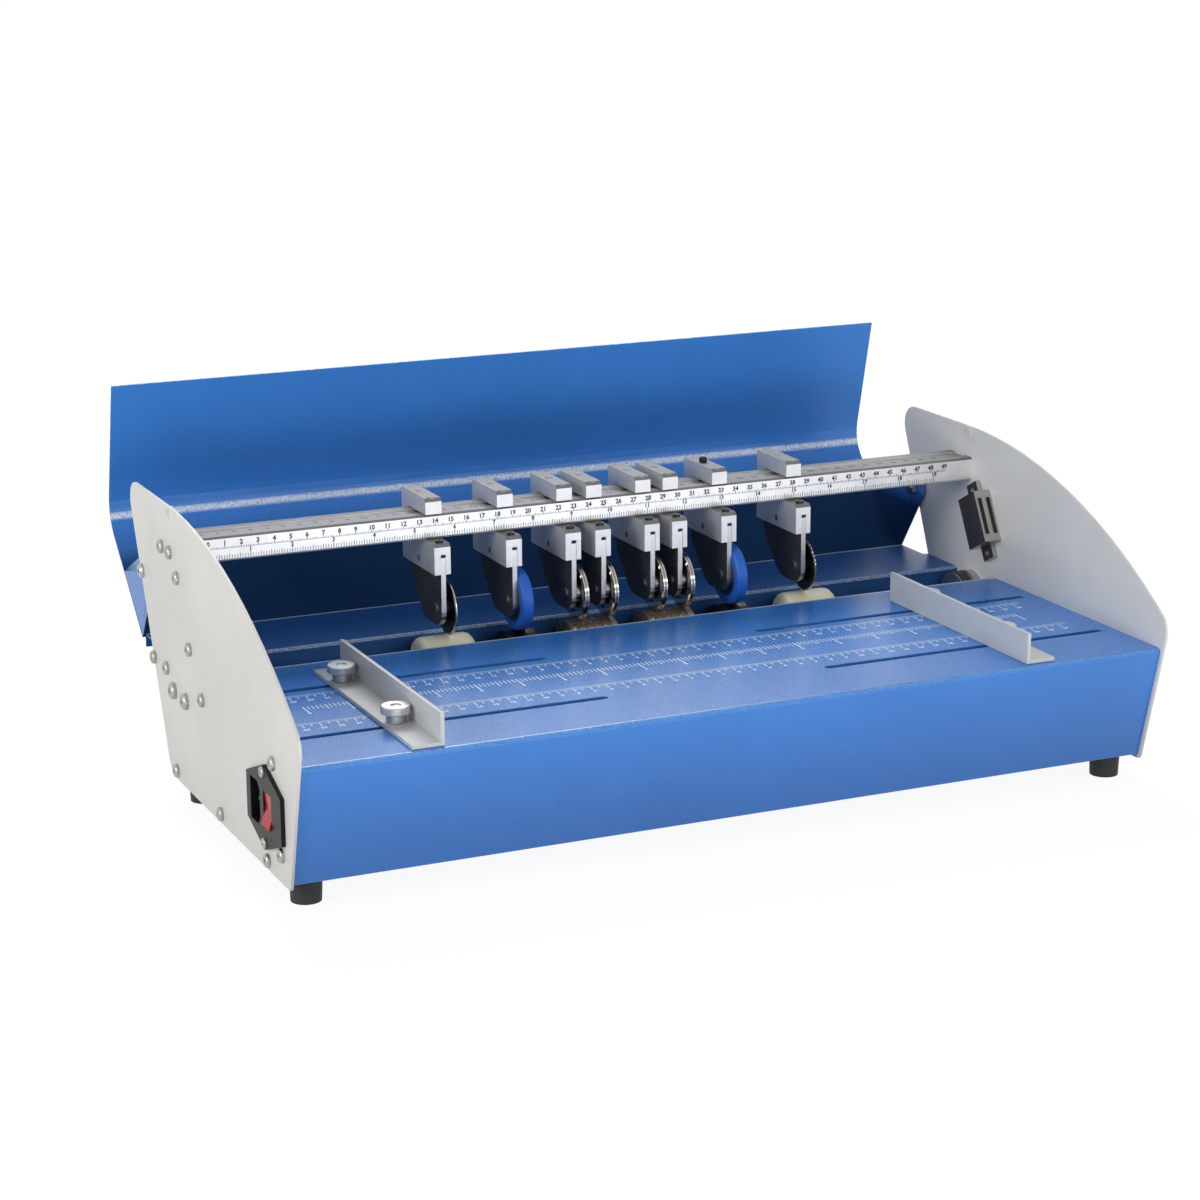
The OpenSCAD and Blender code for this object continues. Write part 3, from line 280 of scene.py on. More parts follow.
class Shading:
    """A node tree and the method that adds its nodes."""

    def __init__(self, tree, output):
        self.tree = tree
        tree.nodes.clear()
        self.out = tree.nodes.new(output)

    def node(self, kind, settings=None, inputs=None, output=0):
        """Adds a node; inputs is a list in socket order or a dict by socket name or number."""
        made = self.tree.nodes.new(kind)
        for name, value in (settings or {}).items():
            setattr(made, name, value)
        pairs = inputs.items() if isinstance(inputs, dict) else enumerate(inputs or [])
        for key, value in pairs:
            socket = made.inputs[key]
            if isinstance(value, Field):
                self.tree.links.new(value.socket, socket)
            else:
                socket.default_value = value
        return Field(self, made.outputs[output])

    def parts(self, vector):
        """The three numbers of a vector."""
        outputs = self.node("ShaderNodeSeparateXYZ", None, [vector]).socket.node.outputs
        return [Field(self, outputs[i]) for i in range(3)]

    def place(self):
        return self.node("ShaderNodeTexCoord", output=3)

    def axes(self):
        """The three Object coordinates, in metres."""
        return self.parts(self.place())

    def facing(self):
        """The three parts of the surface's normal, which turn with the piece."""
        return self.parts(self.node("ShaderNodeTexCoord", output=1))

    def noise(self, scale, detail=2.0, stretch=(1, 1, 1)):
        """Even noise from 0 to 1; stretch scales the three axes first."""
        place = self.place()
        if stretch != (1, 1, 1):
            place = self.node("ShaderNodeMapping", None, {"Vector": place, "Scale": stretch})
        inputs = {"Vector": place, "Scale": scale, "Detail": detail}
        return self.node("ShaderNodeTexNoise", None, inputs)

    def blend(self, factor, first, second):
        """A colour between two, by a factor: the Mix node's sockets 0, 6 and 7."""
        inputs = {0: factor, 6: first, 7: second}
        return self.node("ShaderNodeMix", {"data_type": "RGBA"}, inputs, 2)

    def bump(self, height, distance):
        return self.node("ShaderNodeBump", None, {"Distance": distance, "Height": height})

    def surface(self, **values):
        """A Principled surface; names are the sockets' with _ for a space."""
        inputs = {name.replace("_", " "): value for name, value in values.items()}
        return self.node("ShaderNodeBsdfPrincipled", None, inputs)

    def mix(self, factor, first, second):
        return self.node("ShaderNodeMixShader", None, [factor, first, second])

    def seen(self):
        """1 for a ray that shows a background: straight, in gloss or through glass. Else 0."""
        outputs = self.node("ShaderNodeLightPath").socket.node.outputs
        straight = Field(self, outputs["Is Camera Ray"])
        gloss = Field(self, outputs["Is Glossy Ray"])
        glass = Field(self, outputs["Is Transmission Ray"])
        return (straight + gloss + glass).ramp(0.0, 1.0)

    def done(self, shader):
        self.tree.links.new(shader.socket, self.out.inputs["Surface"])


class Finish(Shading):
    """A material and its nodes."""

    def __init__(self, name):
        self.material = bpy.data.materials.new(name)
        self.material.use_nodes = True
        super().__init__(self.material.node_tree, "ShaderNodeOutputMaterial")

    def done(self, shader):
        super().done(shader)
        return self.material


def rgba(colour, scale=1.0):
    """A linear colour with alpha, scaled in brightness."""
    return (*[min(1.0, c * scale) for c in colour], 1.0)


def colours():
    return bpy.context.scene.creaser_colours


def sizes():
    return bpy.context.scene.creaser_sizes


def clouded(f, colour):
    """A coat's slow cloudiness, and its colour with that in it."""
    cloud = f.noise(14.0, 3.0)
    return cloud, f.blend(cloud.ramp(0.3, 0.7), rgba(colour, 0.94), rgba(colour, 1.05))


def powder_coat(name, colour, rough=0.34, grain=1300.0, depth=0.06 * MM, sheen=0.4,
                edge=None, bend=None, nose=None):
    """Textured powder coat: fine pebbles, a little cloudiness and dust in its colour.

    Behind edge, in Y, a painted highlight lies pale along a sheet's bend. On bend, in Z, a painted
    highlight lies pale on the pebbles of a face that looks inwards, and well below it painted
    shade makes the coat dark and matt. A painted highlight also lies on the pebbles within nose, a
    Y and a
    Z that bound a sheet's front bend.
    """
    f = Finish(name)
    pebble = f.noise(grain, 2.0)
    speck = f.noise(grain * 0.6, 1.0).ramp(0.62, 0.74)
    cloud, tint = clouded(f, colour)
    tint = f.blend(speck * 0.10, tint, rgba(colour, 1.7))
    grooved = f.bump(pebble, depth)
    if edge is not None or nose is not None or bend is not None:
        x, y, z = f.axes()
        turn_x, turn_y, turn_z = f.facing()
    if edge is not None:
        # Painted highlight: a pale line behind edge, on faces of the bend that look up
        pale = y.above(edge) * turn_z.above(BEND_UP)
        tint = f.blend(pale * 0.75, tint, (0.62, 0.70, 0.80, 1))
    if nose is not None:
        # Painted highlight on the pebbles of the front bend within nose
        painted_highlight = y.below(nose[0]) * z.above(nose[1]) * pebble.ramp(0.35, 0.6)
        tint = f.blend(painted_highlight * 0.7, tint, (0.55, 0.70, 0.90, 1))
    if bend is not None:
        inner = turn_y.below(0.0) + (turn_x * x).below(EAR_INWARD)
        # Painted highlight: a pale line of pebbles along the bend, on faces that look inwards
        line = 1 - (z - bend).away().ramp(HIGHLIGHT_SOLID, HIGHLIGHT_END)
        painted_highlight = inner * line * pebble.ramp(0.3, 0.55)
        tint = f.blend(painted_highlight * 0.95, tint, (0.82, 0.89, 0.97, 1))
    coat = f.surface(Base_Color=tint, Roughness=rough + (pebble - 0.5) * 0.2,
                     Specular_IOR_Level=sheen, Normal=grooved)
    if bend is None:
        return f.done(coat)
    # Painted shade: well below the bend, faces that look inwards take a dark matt coat
    matt = f.surface(Base_Color=f.blend(cloud, rgba(colour, 0.16), rgba(colour, 0.20)),
                     Roughness=0.7 + (pebble - 0.5) * 0.2, Specular_IOR_Level=0.08, Normal=grooved)
    dark = inner * (1 - z.ramp(bend - SHADE_WHOLE, bend - SHADE_START))
    return f.done(f.mix(dark, coat, matt))


def table_coat(name, colour, pale):
    """The table's powder coat, its pale printed bands, and painted highlights on its rear edge and
    fold.
    """
    f = Finish(name)
    pebble = f.noise(1300.0, 2.0)
    _, tint = clouded(f, colour)
    x, y, z = f.axes()
    # Painted highlight: a pale line along the table's rear edge, on faces that look up
    rear = y.above(TABLE_HIGH.y - TABLE_EDGE) * f.facing()[2].above(BEND_UP)
    tint = f.blend(rear * 0.9, tint, (0.66, 0.74, 0.84, 1))
    # Painted highlight on the pebbles of the table's front fold
    fold = y.below(TABLE_LOW.y + TABLE_FOLD_DEPTH) * z.above(TABLE_HIGH.z - TABLE_FOLD_HEIGHT)
    tint = f.blend(fold * pebble.ramp(0.35, 0.65) * 0.5, tint, (0.30, 0.58, 0.90, 1))
    inside = (x - MID_X).away().below(INNER_WIDTH / 2 - BAND_MARGIN)
    inside = inside * z.above(TABLE_HIGH.z - BAND_SKIN)
    for low, high in TABLE_BANDS:
        band = y.above(TABLE_LOW.y + low) * y.below(TABLE_LOW.y + high)
        tint = f.blend(band * inside * 0.36, tint, rgba(pale))
    return f.done(f.surface(
        Base_Color=tint, Roughness=0.26 + (pebble - 0.5) * 0.22, Normal=f.bump(pebble, 0.07 * MM)))


def metal(name, colour, rough, stretch=(1, 1, 1), grain=900.0, depth=0.01 * MM, metallic=1.0,
          top=None):
    """Machined metal: fine marks along one axis, a little stain in its colour.

    top scales the colour of faces that look upwards: painted shade on the tops.
    """
    f = Finish(name)
    marks = f.noise(grain, 2.0, stretch)
    stain = f.noise(60.0, 3.0)
    tint = f.blend(stain.ramp(0.3, 0.75), rgba(colour), rgba(colour, 0.82))
    if top is not None:
        tint = f.blend(f.facing()[2].above(TOP_UP), tint, rgba(colour, top))
    return f.done(f.surface(
        Base_Color=tint, Metallic=metallic, Roughness=rough + (marks - 0.5) * 0.22,
        Normal=f.bump(marks, depth)))


def plastic(name, colour, rough, grain=1200.0, depth=0.02 * MM, sheen=0.5):
    """Moulded plastic or rubber with a fine skin."""
    f = Finish(name)
    skin = f.noise(grain, 2.0)
    cloud = f.noise(40.0, 2.0)
    tint = f.blend(cloud.ramp(0.35, 0.7), rgba(colour, 0.92), rgba(colour, 1.08))
    return f.done(f.surface(
        Base_Color=tint, Roughness=rough + (skin - 0.5) * 0.14, Specular_IOR_Level=sheen,
        Normal=f.bump(skin, depth)))


def ink(name, colour, rough=0.5):
    """Printed ink, a little uneven."""
    f = Finish(name)
    patch = f.noise(700.0, 2.0)
    tint = f.blend(patch.ramp(0.3, 0.7), rgba(colour), rgba(colour, 1.12))
    return f.done(f.surface(Base_Color=tint, Roughness=rough + (patch - 0.5) * 0.1))


def from_axle(f, low, high):
    """The distance from a wheel's axle, which runs along X through the middle of its box."""
    _, y, z = f.axes()
    return (y - (low.y + high.y) / 2).reach(z - (low.z + high.z) / 2)


def feed_wheel_finish(name, node, rubber):
    """Blue rubber on a blackened metal hub."""
    low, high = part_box(node)
    f = Finish(name)
    skin = f.noise(1500.0, 2.0)
    tyre = f.surface(Base_Color=rgba(rubber), Roughness=0.52 + (skin - 0.5) * 0.16,
                     Normal=f.bump(skin, 0.02 * MM))
    hub = f.surface(Base_Color=rgba((0.10, 0.10, 0.11)), Metallic=1.0,
                    Roughness=0.38 + (skin - 0.5) * 0.2, Normal=f.bump(skin, 0.01 * MM))
    return f.done(f.mix(from_axle(f, low, high).above(TYRE_INNER), hub, tyre))


def block_finish(name, node):
    """Satin aluminium block with blackened set screws, a steel pin and painted shade on its top.
    """
    low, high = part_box(node)
    f = Finish(name)
    x, y, z = f.axes()
    across = x - (low.x + high.x) / 2
    front, rear = [across.reach(y - (low.y + screw_y)).below(SET_SCREW_RADIUS)
                   * z.above(low.z + floor) for screw_y, floor in SET_SCREWS]
    marks = f.noise(1100.0, 2.0, (1, 0.25, 1))
    stain = f.noise(90.0, 3.0)
    tint = f.blend(stain.ramp(0.3, 0.75), rgba((0.67, 0.67, 0.67)), rgba((0.58, 0.58, 0.58)))
    # Painted shade: the block's tops are painted dark
    tint = f.blend(f.facing()[2].above(TOP_UP), tint, rgba((0.16, 0.16, 0.16)))
    pin = (y - (low.y + PIN_Y)).reach(z - (low.z + PIN_Z)).below(PIN_RADIUS)
    tint = f.blend(pin * 0.8, tint, rgba((0.06, 0.06, 0.06)))
    body = f.surface(Base_Color=tint, Metallic=0.6, Roughness=0.46 + (marks - 0.5) * 0.25,
                     Normal=f.bump(marks, 0.012 * MM))
    screw = f.surface(Base_Color=rgba((0.012, 0.012, 0.014)), Metallic=0.6,
                      Roughness=0.35 + (marks - 0.5) * 0.2)
    return f.done(f.mix(front + rear, body, screw))


def disc_finish(name, node, flank):
    """Blackened disc whose ground rim is bright."""
    low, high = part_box(node)
    f = Finish(name)
    rim = from_axle(f, low, high).above((high.z - low.z) / 2 - RIM_WIDTH)
    marks = f.noise(1400.0, 2.0)
    dark = f.surface(Base_Color=rgba(flank), Metallic=1.0, Roughness=0.34 + (marks - 0.5) * 0.2,
                     Normal=f.bump(marks, 0.01 * MM))
    bright = f.surface(Base_Color=rgba((0.52, 0.51, 0.48)), Metallic=1.0,
                       Roughness=0.25 + (marks - 0.5) * 0.2)
    return f.done(f.mix(rim, dark, bright))


def arm_finish(name):
    """Blackened plate whose ground edges are bright."""
    f = Finish(name)
    marks = f.noise(900.0, 2.0, (1, 0.3, 1))
    stain = f.noise(120.0, 3.0)
    tint = f.blend(stain.ramp(0.3, 0.75), (0.115, 0.112, 0.108, 1), (0.075, 0.073, 0.070, 1))
    flank = f.surface(Base_Color=tint, Metallic=0.7, Roughness=0.44 + (marks - 0.5) * 0.25,
                      Normal=f.bump(marks, 0.012 * MM))
    ground = f.surface(Base_Color=rgba((0.46, 0.45, 0.43)), Metallic=1.0,
                       Roughness=0.34 + (marks - 0.5) * 0.25)
    return f.done(f.mix(f.facing()[0].away().below(0.5), flank, ground))


def wear(node, material):
    """Gives a CAD node one material, all over."""
    slots = NODES[node].data.materials
    slots.clear()
    slots.append(material)


def alone(piece):
    """Selects one object and makes it active."""
    bpy.ops.object.select_all(action="DESELECT")
    piece.select_set(True)
    bpy.context.view_layer.objects.active = piece


def added(operator, name, **settings):
    """Adds a primitive with nothing else selected, and names it."""
    bpy.ops.object.select_all(action="DESELECT")
    operator(**settings)
    piece = bpy.context.object
    piece.name = name
    piece.data.name = name
    return piece


def settle(piece):
    """Puts an object's place, turn and scale into its mesh."""
    alone(piece)
    bpy.ops.object.transform_apply(location=True, rotation=True, scale=True)


def apply_modifier(piece, kind, **settings):
    """Adds a modifier and applies it."""
    alone(piece)
    made = piece.modifiers.new(kind.title(), kind)
    for name, value in settings.items():
        setattr(made, name, value)
    bpy.ops.object.modifier_apply(modifier=made.name)


def joined(pieces, name):
    """Joins objects into one."""
    bpy.ops.object.select_all(action="DESELECT")
    for piece in pieces:
        piece.select_set(True)
    bpy.context.view_layer.objects.active = pieces[0]
    if len(pieces) > 1:
        bpy.ops.object.join()
    whole = bpy.context.object
    whole.name = name
    whole.data.name = name
    return whole


def copied(piece, matrix):
    """A copy with its own mesh, moved in its mesh."""
    twin = piece.copy()
    twin.data = piece.data.copy()
    twin.data.transform(matrix)
    bpy.context.collection.objects.link(twin)
    return twin


def pick_faces(piece, test):
    """Selects the faces whose middle and normal pass a test, and stays in edit mode."""
    alone(piece)
    bpy.ops.object.mode_set(mode="EDIT")
    bpy.ops.mesh.select_mode(type="FACE")
    bpy.ops.mesh.select_all(action="DESELECT")
    bpy.ops.object.mode_set(mode="OBJECT")
    for face in piece.data.polygons:
        face.select = test(face.center, face.normal)
    bpy.ops.object.mode_set(mode="EDIT")


def solid_boxes(node):
    """Lowest and highest corner of each closed solid in a CAD node, left to right."""
    copy = bpy.data.objects.new("solids", NODES[node].data.copy())
    bpy.context.collection.objects.link(copy)
    alone(copy)
    bpy.ops.object.mode_set(mode="EDIT")
    bpy.ops.mesh.select_all(action="SELECT")
    bpy.ops.mesh.remove_doubles(threshold=CAD_MERGE)
    bpy.ops.mesh.separate(type="LOOSE")
    bpy.ops.object.mode_set(mode="OBJECT")
    boxes = []
    for part in list(bpy.context.selected_objects):
        points = [v.co for v in part.data.vertices]
        low = Vector([min(p[i] for p in points) for i in range(3)])
        high = Vector([max(p[i] for p in points) for i in range(3)])
        boxes.append((low, high))
        shape = part.data
        bpy.data.objects.remove(part)
        bpy.data.meshes.remove(shape)
    return sorted(boxes, key=lambda b: (round(b[0].x, 4), round(b[0].y, 4), round(b[0].z, 4)))


def finished(piece, body, material):
    """Dresses a new piece and lets it ride on a body."""
    piece.data.materials.clear()
    piece.data.materials.append(material)
    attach(piece, body)
    return piece


def cross_screw(name, radius, height, shank_r, shank_l, recess):
    """Pan-head screw with a cross recess: its axis is X, its head starts at 0."""
    screw = added(bpy.ops.mesh.primitive_cylinder_add, name, vertices=32, radius=radius,
                  depth=height, location=(height / 2, 0, 0), rotation=(0, QUARTER_TURN, 0))
    settle(screw)
    pick_faces(screw, lambda c, n: n.x > ALONG)
    bpy.ops.mesh.bevel(offset=height * HEAD_ROUND, segments=5, profile=0.55)
    bpy.ops.object.mode_set(mode="OBJECT")
    pick_faces(screw, lambda c, n: n.x < -ALONG)
    bpy.ops.mesh.inset(thickness=radius - shank_r)
    bpy.ops.mesh.extrude_region_move(TRANSFORM_OT_translate={"value": (-shank_l, 0, 0)})
    bpy.ops.object.mode_set(mode="OBJECT")
    span = radius * RECESS_SPAN
    for width, length in ((recess, span), (span, recess)):
        cutter = added(bpy.ops.mesh.primitive_cube_add, "cutter", size=1, location=(height, 0, 0),
                       scale=(height * 2 * RECESS_DEPTH, width, length))
        settle(cutter)
        pick_faces(cutter, lambda c, n: n.x < -ALONG)
        bpy.ops.transform.resize(value=(1, RECESS_FLOOR, RECESS_FLOOR),
                                 center_override=(height / 2, 0, 0))
        bpy.ops.object.mode_set(mode="OBJECT")
        apply_modifier(screw, "BOOLEAN", operation="DIFFERENCE", object=cutter, solver="EXACT")
        bpy.data.objects.remove(cutter)
    alone(screw)
    bpy.ops.object.shade_smooth_by_angle(angle=SMOOTH_BELOW)
    return screw


def screws_for(node, radius, height, recess):
    """A node's screws, one at each of its solids, their heads as high as the plain ones."""
    solids = solid_boxes(node)
    length = solids[0][1].x - solids[0][0].x - height
    model = cross_screw(f"{node}_turned", radius, height, radius * SHANK_SHARE, length, recess)
    twins = []
    for index, (low, high) in enumerate(solids):
        leftward = (low.x + high.x) / 2 < MID_X
        foot = low.x + height if leftward else high.x - height
        place = Matrix.Translation((foot, (low.y + high.y) / 2, (low.z + high.z) / 2))
        facing = Matrix.Rotation(math.pi if leftward else 0, 4, "Z")
        twist = Matrix.Rotation(index * RECESS_TWIST, 4, "X")
        twins.append(copied(model, place @ facing @ twist))
    bpy.data.objects.remove(model)
    whole = joined(twins, f"{node}_turned")
    alone(whole)
    bpy.ops.object.shade_smooth_by_angle(angle=SMOOTH_BELOW)
    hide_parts(node)
    return finished(whole, "frame", metal(
        f"{node} zinc", (0.44, 0.43, 0.41), 0.34, grain=1600.0))


def ticks(name, place, turn, step, count, width, length, thick):
    """A row of printed lines along X, each standing on the row's foot."""
    row = added(bpy.ops.mesh.primitive_plane_add, name, size=1, location=(0, length / 2, 0))
    row.scale = (width, length, 1)
    settle(row)
    bpy.ops.object.mode_set(mode="EDIT")
    bpy.ops.mesh.select_all(action="SELECT")
    bpy.ops.mesh.extrude_region_move(TRANSFORM_OT_translate={"value": (0, 0, thick)})
    bpy.ops.mesh.select_all(action="SELECT")
    bpy.ops.mesh.normals_make_consistent(inside=False)
    bpy.ops.object.mode_set(mode="OBJECT")
    if count > 1:
        apply_modifier(row, "ARRAY", count=count, use_relative_offset=False,
                       use_constant_offset=True, constant_offset_displace=(step, 0, 0))
    row.data.transform(Matrix.Translation(place) @ Matrix.Rotation(turn, 4, "X"))
    return row


def number(text, place, turn, height, thick):
    """A printed number, centred on its place."""
    bpy.ops.object.select_all(action="DESELECT")
    bpy.ops.object.text_add()
    mark = bpy.context.object
    mark.data.body = str(text)
    mark.data.size = height / DIGIT_SHARE
    mark.data.align_x = "CENTER"
    mark.data.align_y = "CENTER"
    mark.data.extrude = thick / 2
    mark.data.offset = height * INK_SPREAD
    mark.data.resolution_u = 2
    bpy.ops.object.convert(target="MESH")
    mark = bpy.context.object
    mark.data.transform(Matrix.Translation((0, 0, thick / 2)))
    mark.data.transform(Matrix.Translation(place) @ Matrix.Rotation(turn, 4, "X"))
    return mark


def sealed(piece):
    """Merges a print's doubles, and turns its faces outwards."""
    alone(piece)
    bpy.ops.object.mode_set(mode="EDIT")
    bpy.ops.mesh.select_all(action="SELECT")
    bpy.ops.mesh.remove_doubles(threshold=PRINT_MERGE)
    bpy.ops.mesh.normals_make_consistent(inside=False)
    bpy.ops.object.mode_set(mode="OBJECT")
    return piece


def rule(name, foot, turn, unit, units, rows, width, thick, hang=0):
    """Rows of printed lines along X from foot, the lines standing on it, or with hang 1 below."""
    x, y, z = foot
    return [ticks(name, (x, y - hang * long, z), turn, unit / parts, units * parts + 1,
                  width * bold, long, thick * bold) for parts, long, bold in rows]


def numbers(values, first, step, turn, height, thick):
    """Printed numbers along X, the first one at its place."""
    x, y, z = first
    return [number(value, (x + index * step, y, z), turn, height, thick)
            for index, value in enumerate(values)]


def from_middle(half):
    """Numbers that fall from half to 0 and rise again."""
    return [abs(i) for i in range(-half, half + 1)]


class CREASER_OT_sheets(bpy.types.Operator):
    """Dresses the plates, the table, the ledge, the cover and the guides in powder coat"""

    bl_idname = "creaser.sheets"
    bl_label = "Powder-coated sheets"

    def execute(self, context):
        tones = colours()
        white = powder_coat("grey powder coat", tones.plate, 0.46, 1300.0, 0.045 * MM, 0.45)
        for node in ("left_side_plate", "right_side_plate"):
            wear(node, white)
        wear("cover_bumpers", plastic("white nylon", (0.66, 0.66, 0.64), 0.42))
        wear("bottom_tray", powder_coat("blue powder coat", tones.sheet))
        ledge_low, ledge_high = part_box("rear_ledge")
        nose = ledge_low.y + LEDGE_NOSE_DEPTH, ledge_high.z - LEDGE_NOSE_HEIGHT
        # Painted shade: the ledge's coat is the blue sheets' colour darkened to 0.42
        wear("rear_ledge", powder_coat("ledge powder coat", [c * 0.42 for c in tones.sheet],
                                       sheen=0.25, edge=ledge_high.y - LEDGE_EDGE, nose=nose))
        # Painted shade: the rear panel's coat is the blue sheets' colour darkened to 0.6
        wear("rear_panel", powder_coat("rear panel powder coat", [c * 0.6 for c in tones.sheet]))
        wear("infeed_table", table_coat("table powder coat", tones.sheet, tones.table_print))
        # The cover's coat carries a painted highlight along its bend and painted shade below it
        wear("cover", powder_coat("cover powder coat", tones.cover, 0.28, sheen=0.25,
                                  bend=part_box("cover")[1].z - COVER_BEND))
        pale = powder_coat("guide powder coat", tones.guide, 0.42, 1400.0, 0.04 * MM)
        for node in GUIDE_NODES:
            wear(node, pale)
        return {"FINISHED"}


class CREASER_OT_tools(bpy.types.Operator):
    """Finishes the ruler beam, the tool blocks, their arms and their wheels"""

    bl_idname = "creaser.tools"
    bl_label = "Beam, blocks, arms and wheels"

    def execute(self, context):
        # Painted shade: the beam's tops take 0.22 of its colour
        wear("ruler_beam", metal("brushed beam", (0.80, 0.80, 0.80), 0.42, (0.05, 1, 1), 1400.0,
                                 0.015 * MM, 0.6, 0.22))
        arm = arm_finish("blackened arm steel")
        chrome = metal("creasing chrome", (0.55, 0.53, 0.50), 0.16, grain=500.0)
        for i in range(1, TOOL_COUNT + 1):
            node = f"tool_block_{i}"
            wear(node, block_finish(f"satin block {i}", node))
            wear(f"tool_arm_{i}", arm)
        for node in CREASING_WHEELS:
            wear(node, chrome)
        for node in FEED_WHEELS:
            wear(node, feed_wheel_finish(f"{node} rubber", node, colours().tyre))
        wear("cutting_wheel", disc_finish(
            "blued cutting disc", "cutting_wheel", (0.05, 0.05, 0.055)))
        wear("perforating_wheel", disc_finish(
            "blued perforating disc", "perforating_wheel", (0.06, 0.055, 0.05)))
        return {"FINISHED"}


class CREASER_OT_drive(bpy.types.Operator):
    """Finishes the driven shaft, its rollers and the drive inside the base"""

    bl_idname = "creaser.drive"
    bl_label = "Shaft, rollers and drive"

    def execute(self, context):
        steel = metal("drawn steel", STEEL, 0.30, (0.2, 1, 1), 1200.0)
        dark = metal("black steel", (0.10, 0.095, 0.09), 0.34, (0.3, 1, 1), 1200.0)
        pulley = metal("turned pulley", (0.55, 0.55, 0.55), 0.36, grain=1100.0)
        wear("lower_shaft", steel)
        wear("shaft_bearings", metal("zinc bearing", (0.50, 0.52, 0.54), 0.38, grain=900.0))
        wear("nylon_rollers", plastic("cream nylon", colours().nylon, 0.46, 900.0))
        wear("steel_rollers", dark)
        wear("creasing_rollers", metal("bronze", (0.42, 0.33, 0.26), 0.28, grain=700.0,
                                       depth=0.002 * MM, metallic=0.7))
        wear("drive_pulley", pulley)
        wear("motor_pulley", pulley)
        wear("motor_bracket", metal("plated bracket", (0.52, 0.52, 0.50), 0.38, grain=700.0))
        wear("drive_motor", metal("motor shell", (0.20, 0.20, 0.21), 0.44, grain=900.0))
        wear("drive_belt", plastic("belt rubber", (0.018, 0.018, 0.018), 0.62, 1100.0, 0.05 * MM))
        return {"FINISHED"}


class CREASER_OT_fittings(bpy.types.Operator):
    """Finishes the feet, catches, hinge pins, knobs, nuts and the mains inlet with its rocker"""

    bl_idname = "creaser.fittings"
    bl_label = "Fittings"

    def execute(self, context):
        wear("rubber_feet", plastic("foot rubber", (0.016, 0.016, 0.016), 0.66, 900.0, 0.05 * MM))
        wear("catch_magnets", arm_finish("catch steel"))
        wear("cover_pivot_pins", metal("pin steel", STEEL, 0.30))
        wear("power_inlet", plastic("inlet plastic", (0.006, 0.006, 0.007), 0.42, 1500.0,
                                    0.03 * MM, 0.2))
        wear("inlet_pins", metal("plated brass", (0.62, 0.60, 0.55), 0.24))
        wear("rocker_switch", plastic("rocker plastic", colours().rocker, 0.25, 1500.0,
                                      0.004 * MM, 0.25))
        zinc = metal("zinc plated knob", (0.56, 0.57, 0.56), 0.34, grain=700.0,
                     depth=0.003 * MM, metallic=0.85)
        for node in KNOB_NODES:
            wear(node, zinc)
        for node in ("left_guide_nuts", "right_guide_nuts"):
            wear(node, metal(f"{node} steel", (0.48, 0.48, 0.46), 0.34))
        return {"FINISHED"}


class CREASER_OT_screws(bpy.types.Operator):
    """Models the cross-recessed screws of the plates, the bearings and the mains inlet"""

    bl_idname = "creaser.screws"
    bl_label = "Cross-recessed screws"

    def execute(self, context):
        for node, radius, height, share in SCREWS:
            screws_for(node, radius, height, sizes().recess * share)
        return {"FINISHED"}


class CREASER_OT_beam_ruler(bpy.types.Operator):
    """Prints centimetres and inches on the beam's front and top"""

    bl_idname = "creaser.beam_ruler"
    bl_label = "Beam ruler"

    def execute(self, context):
        set_to = sizes()
        thin, thick = set_to.tick, set_to.ink
        zero = BEAM_LOW.x + set_to.zero_inset
        y = BEAM_LOW.y
        line = BEAM_LOW.z + set_to.line_up
        length = BEAM_CMS * CM
        marks = rule("cm", (zero, y, line), FRONT, CM, BEAM_CMS, BEAM_CM_ROWS, thin * CM_LINE,
                     thick)
        marks += rule("inch", (zero, y, BEAM_LOW.z + INCH_FOOT), FRONT, INCH, BEAM_INCHES,
                      BEAM_INCH_ROWS, thin * INCH_LINE, thick)
        marks.append(ticks("line", (zero + length / 2, y, line), FRONT, 0, 1, length,
                           thin * LONG_LINE, thick * LONG_LINE_INK))
        scale = sealed(joined(marks, "beam_scale"))
        finished(scale, "frame", ink("scale grey", (0.06, 0.06, 0.06)))
        marks = numbers(range(BEAM_CMS + 1), (zero, y, line + CM_DIGIT_UP), CM, FRONT,
                        set_to.digit, thick)
        marks += numbers(range(BEAM_INCHES + 1), (zero, y, line - INCH_DIGIT_DOWN), INCH, FRONT,
                         set_to.inch_digit, thick)
        figures = sealed(joined(marks, "beam_figures"))
        finished(figures, "frame", ink("figure black", colours().beam_print))
        self.print_top(zero, thin, thick)
        return {"FINISHED"}

    def print_top(self, zero, thin, thick):
        """A second ruler on the beam's top, beside and in its groove."""
        mid = (BEAM_LOW.y + BEAM_HIGH.y) / 2
        marks = [ticks("top", (zero, mid + y, BEAM_HIGH.z - deep), FLAT, CM / parts,
                       BEAM_CMS * parts + 1, thin, long, thick)
                 for parts, y, long, deep in TOP_ROWS]
        first = (zero, mid + TOP_DIGIT_Y, BEAM_HIGH.z - GROOVE)
        marks += numbers(range(BEAM_CMS + 1), first, CM, FLAT, TOP_DIGIT, thick)
        top = sealed(joined(marks, "beam_top_figures"))
        finished(top, "frame", ink("top figure black", colours().beam_print))


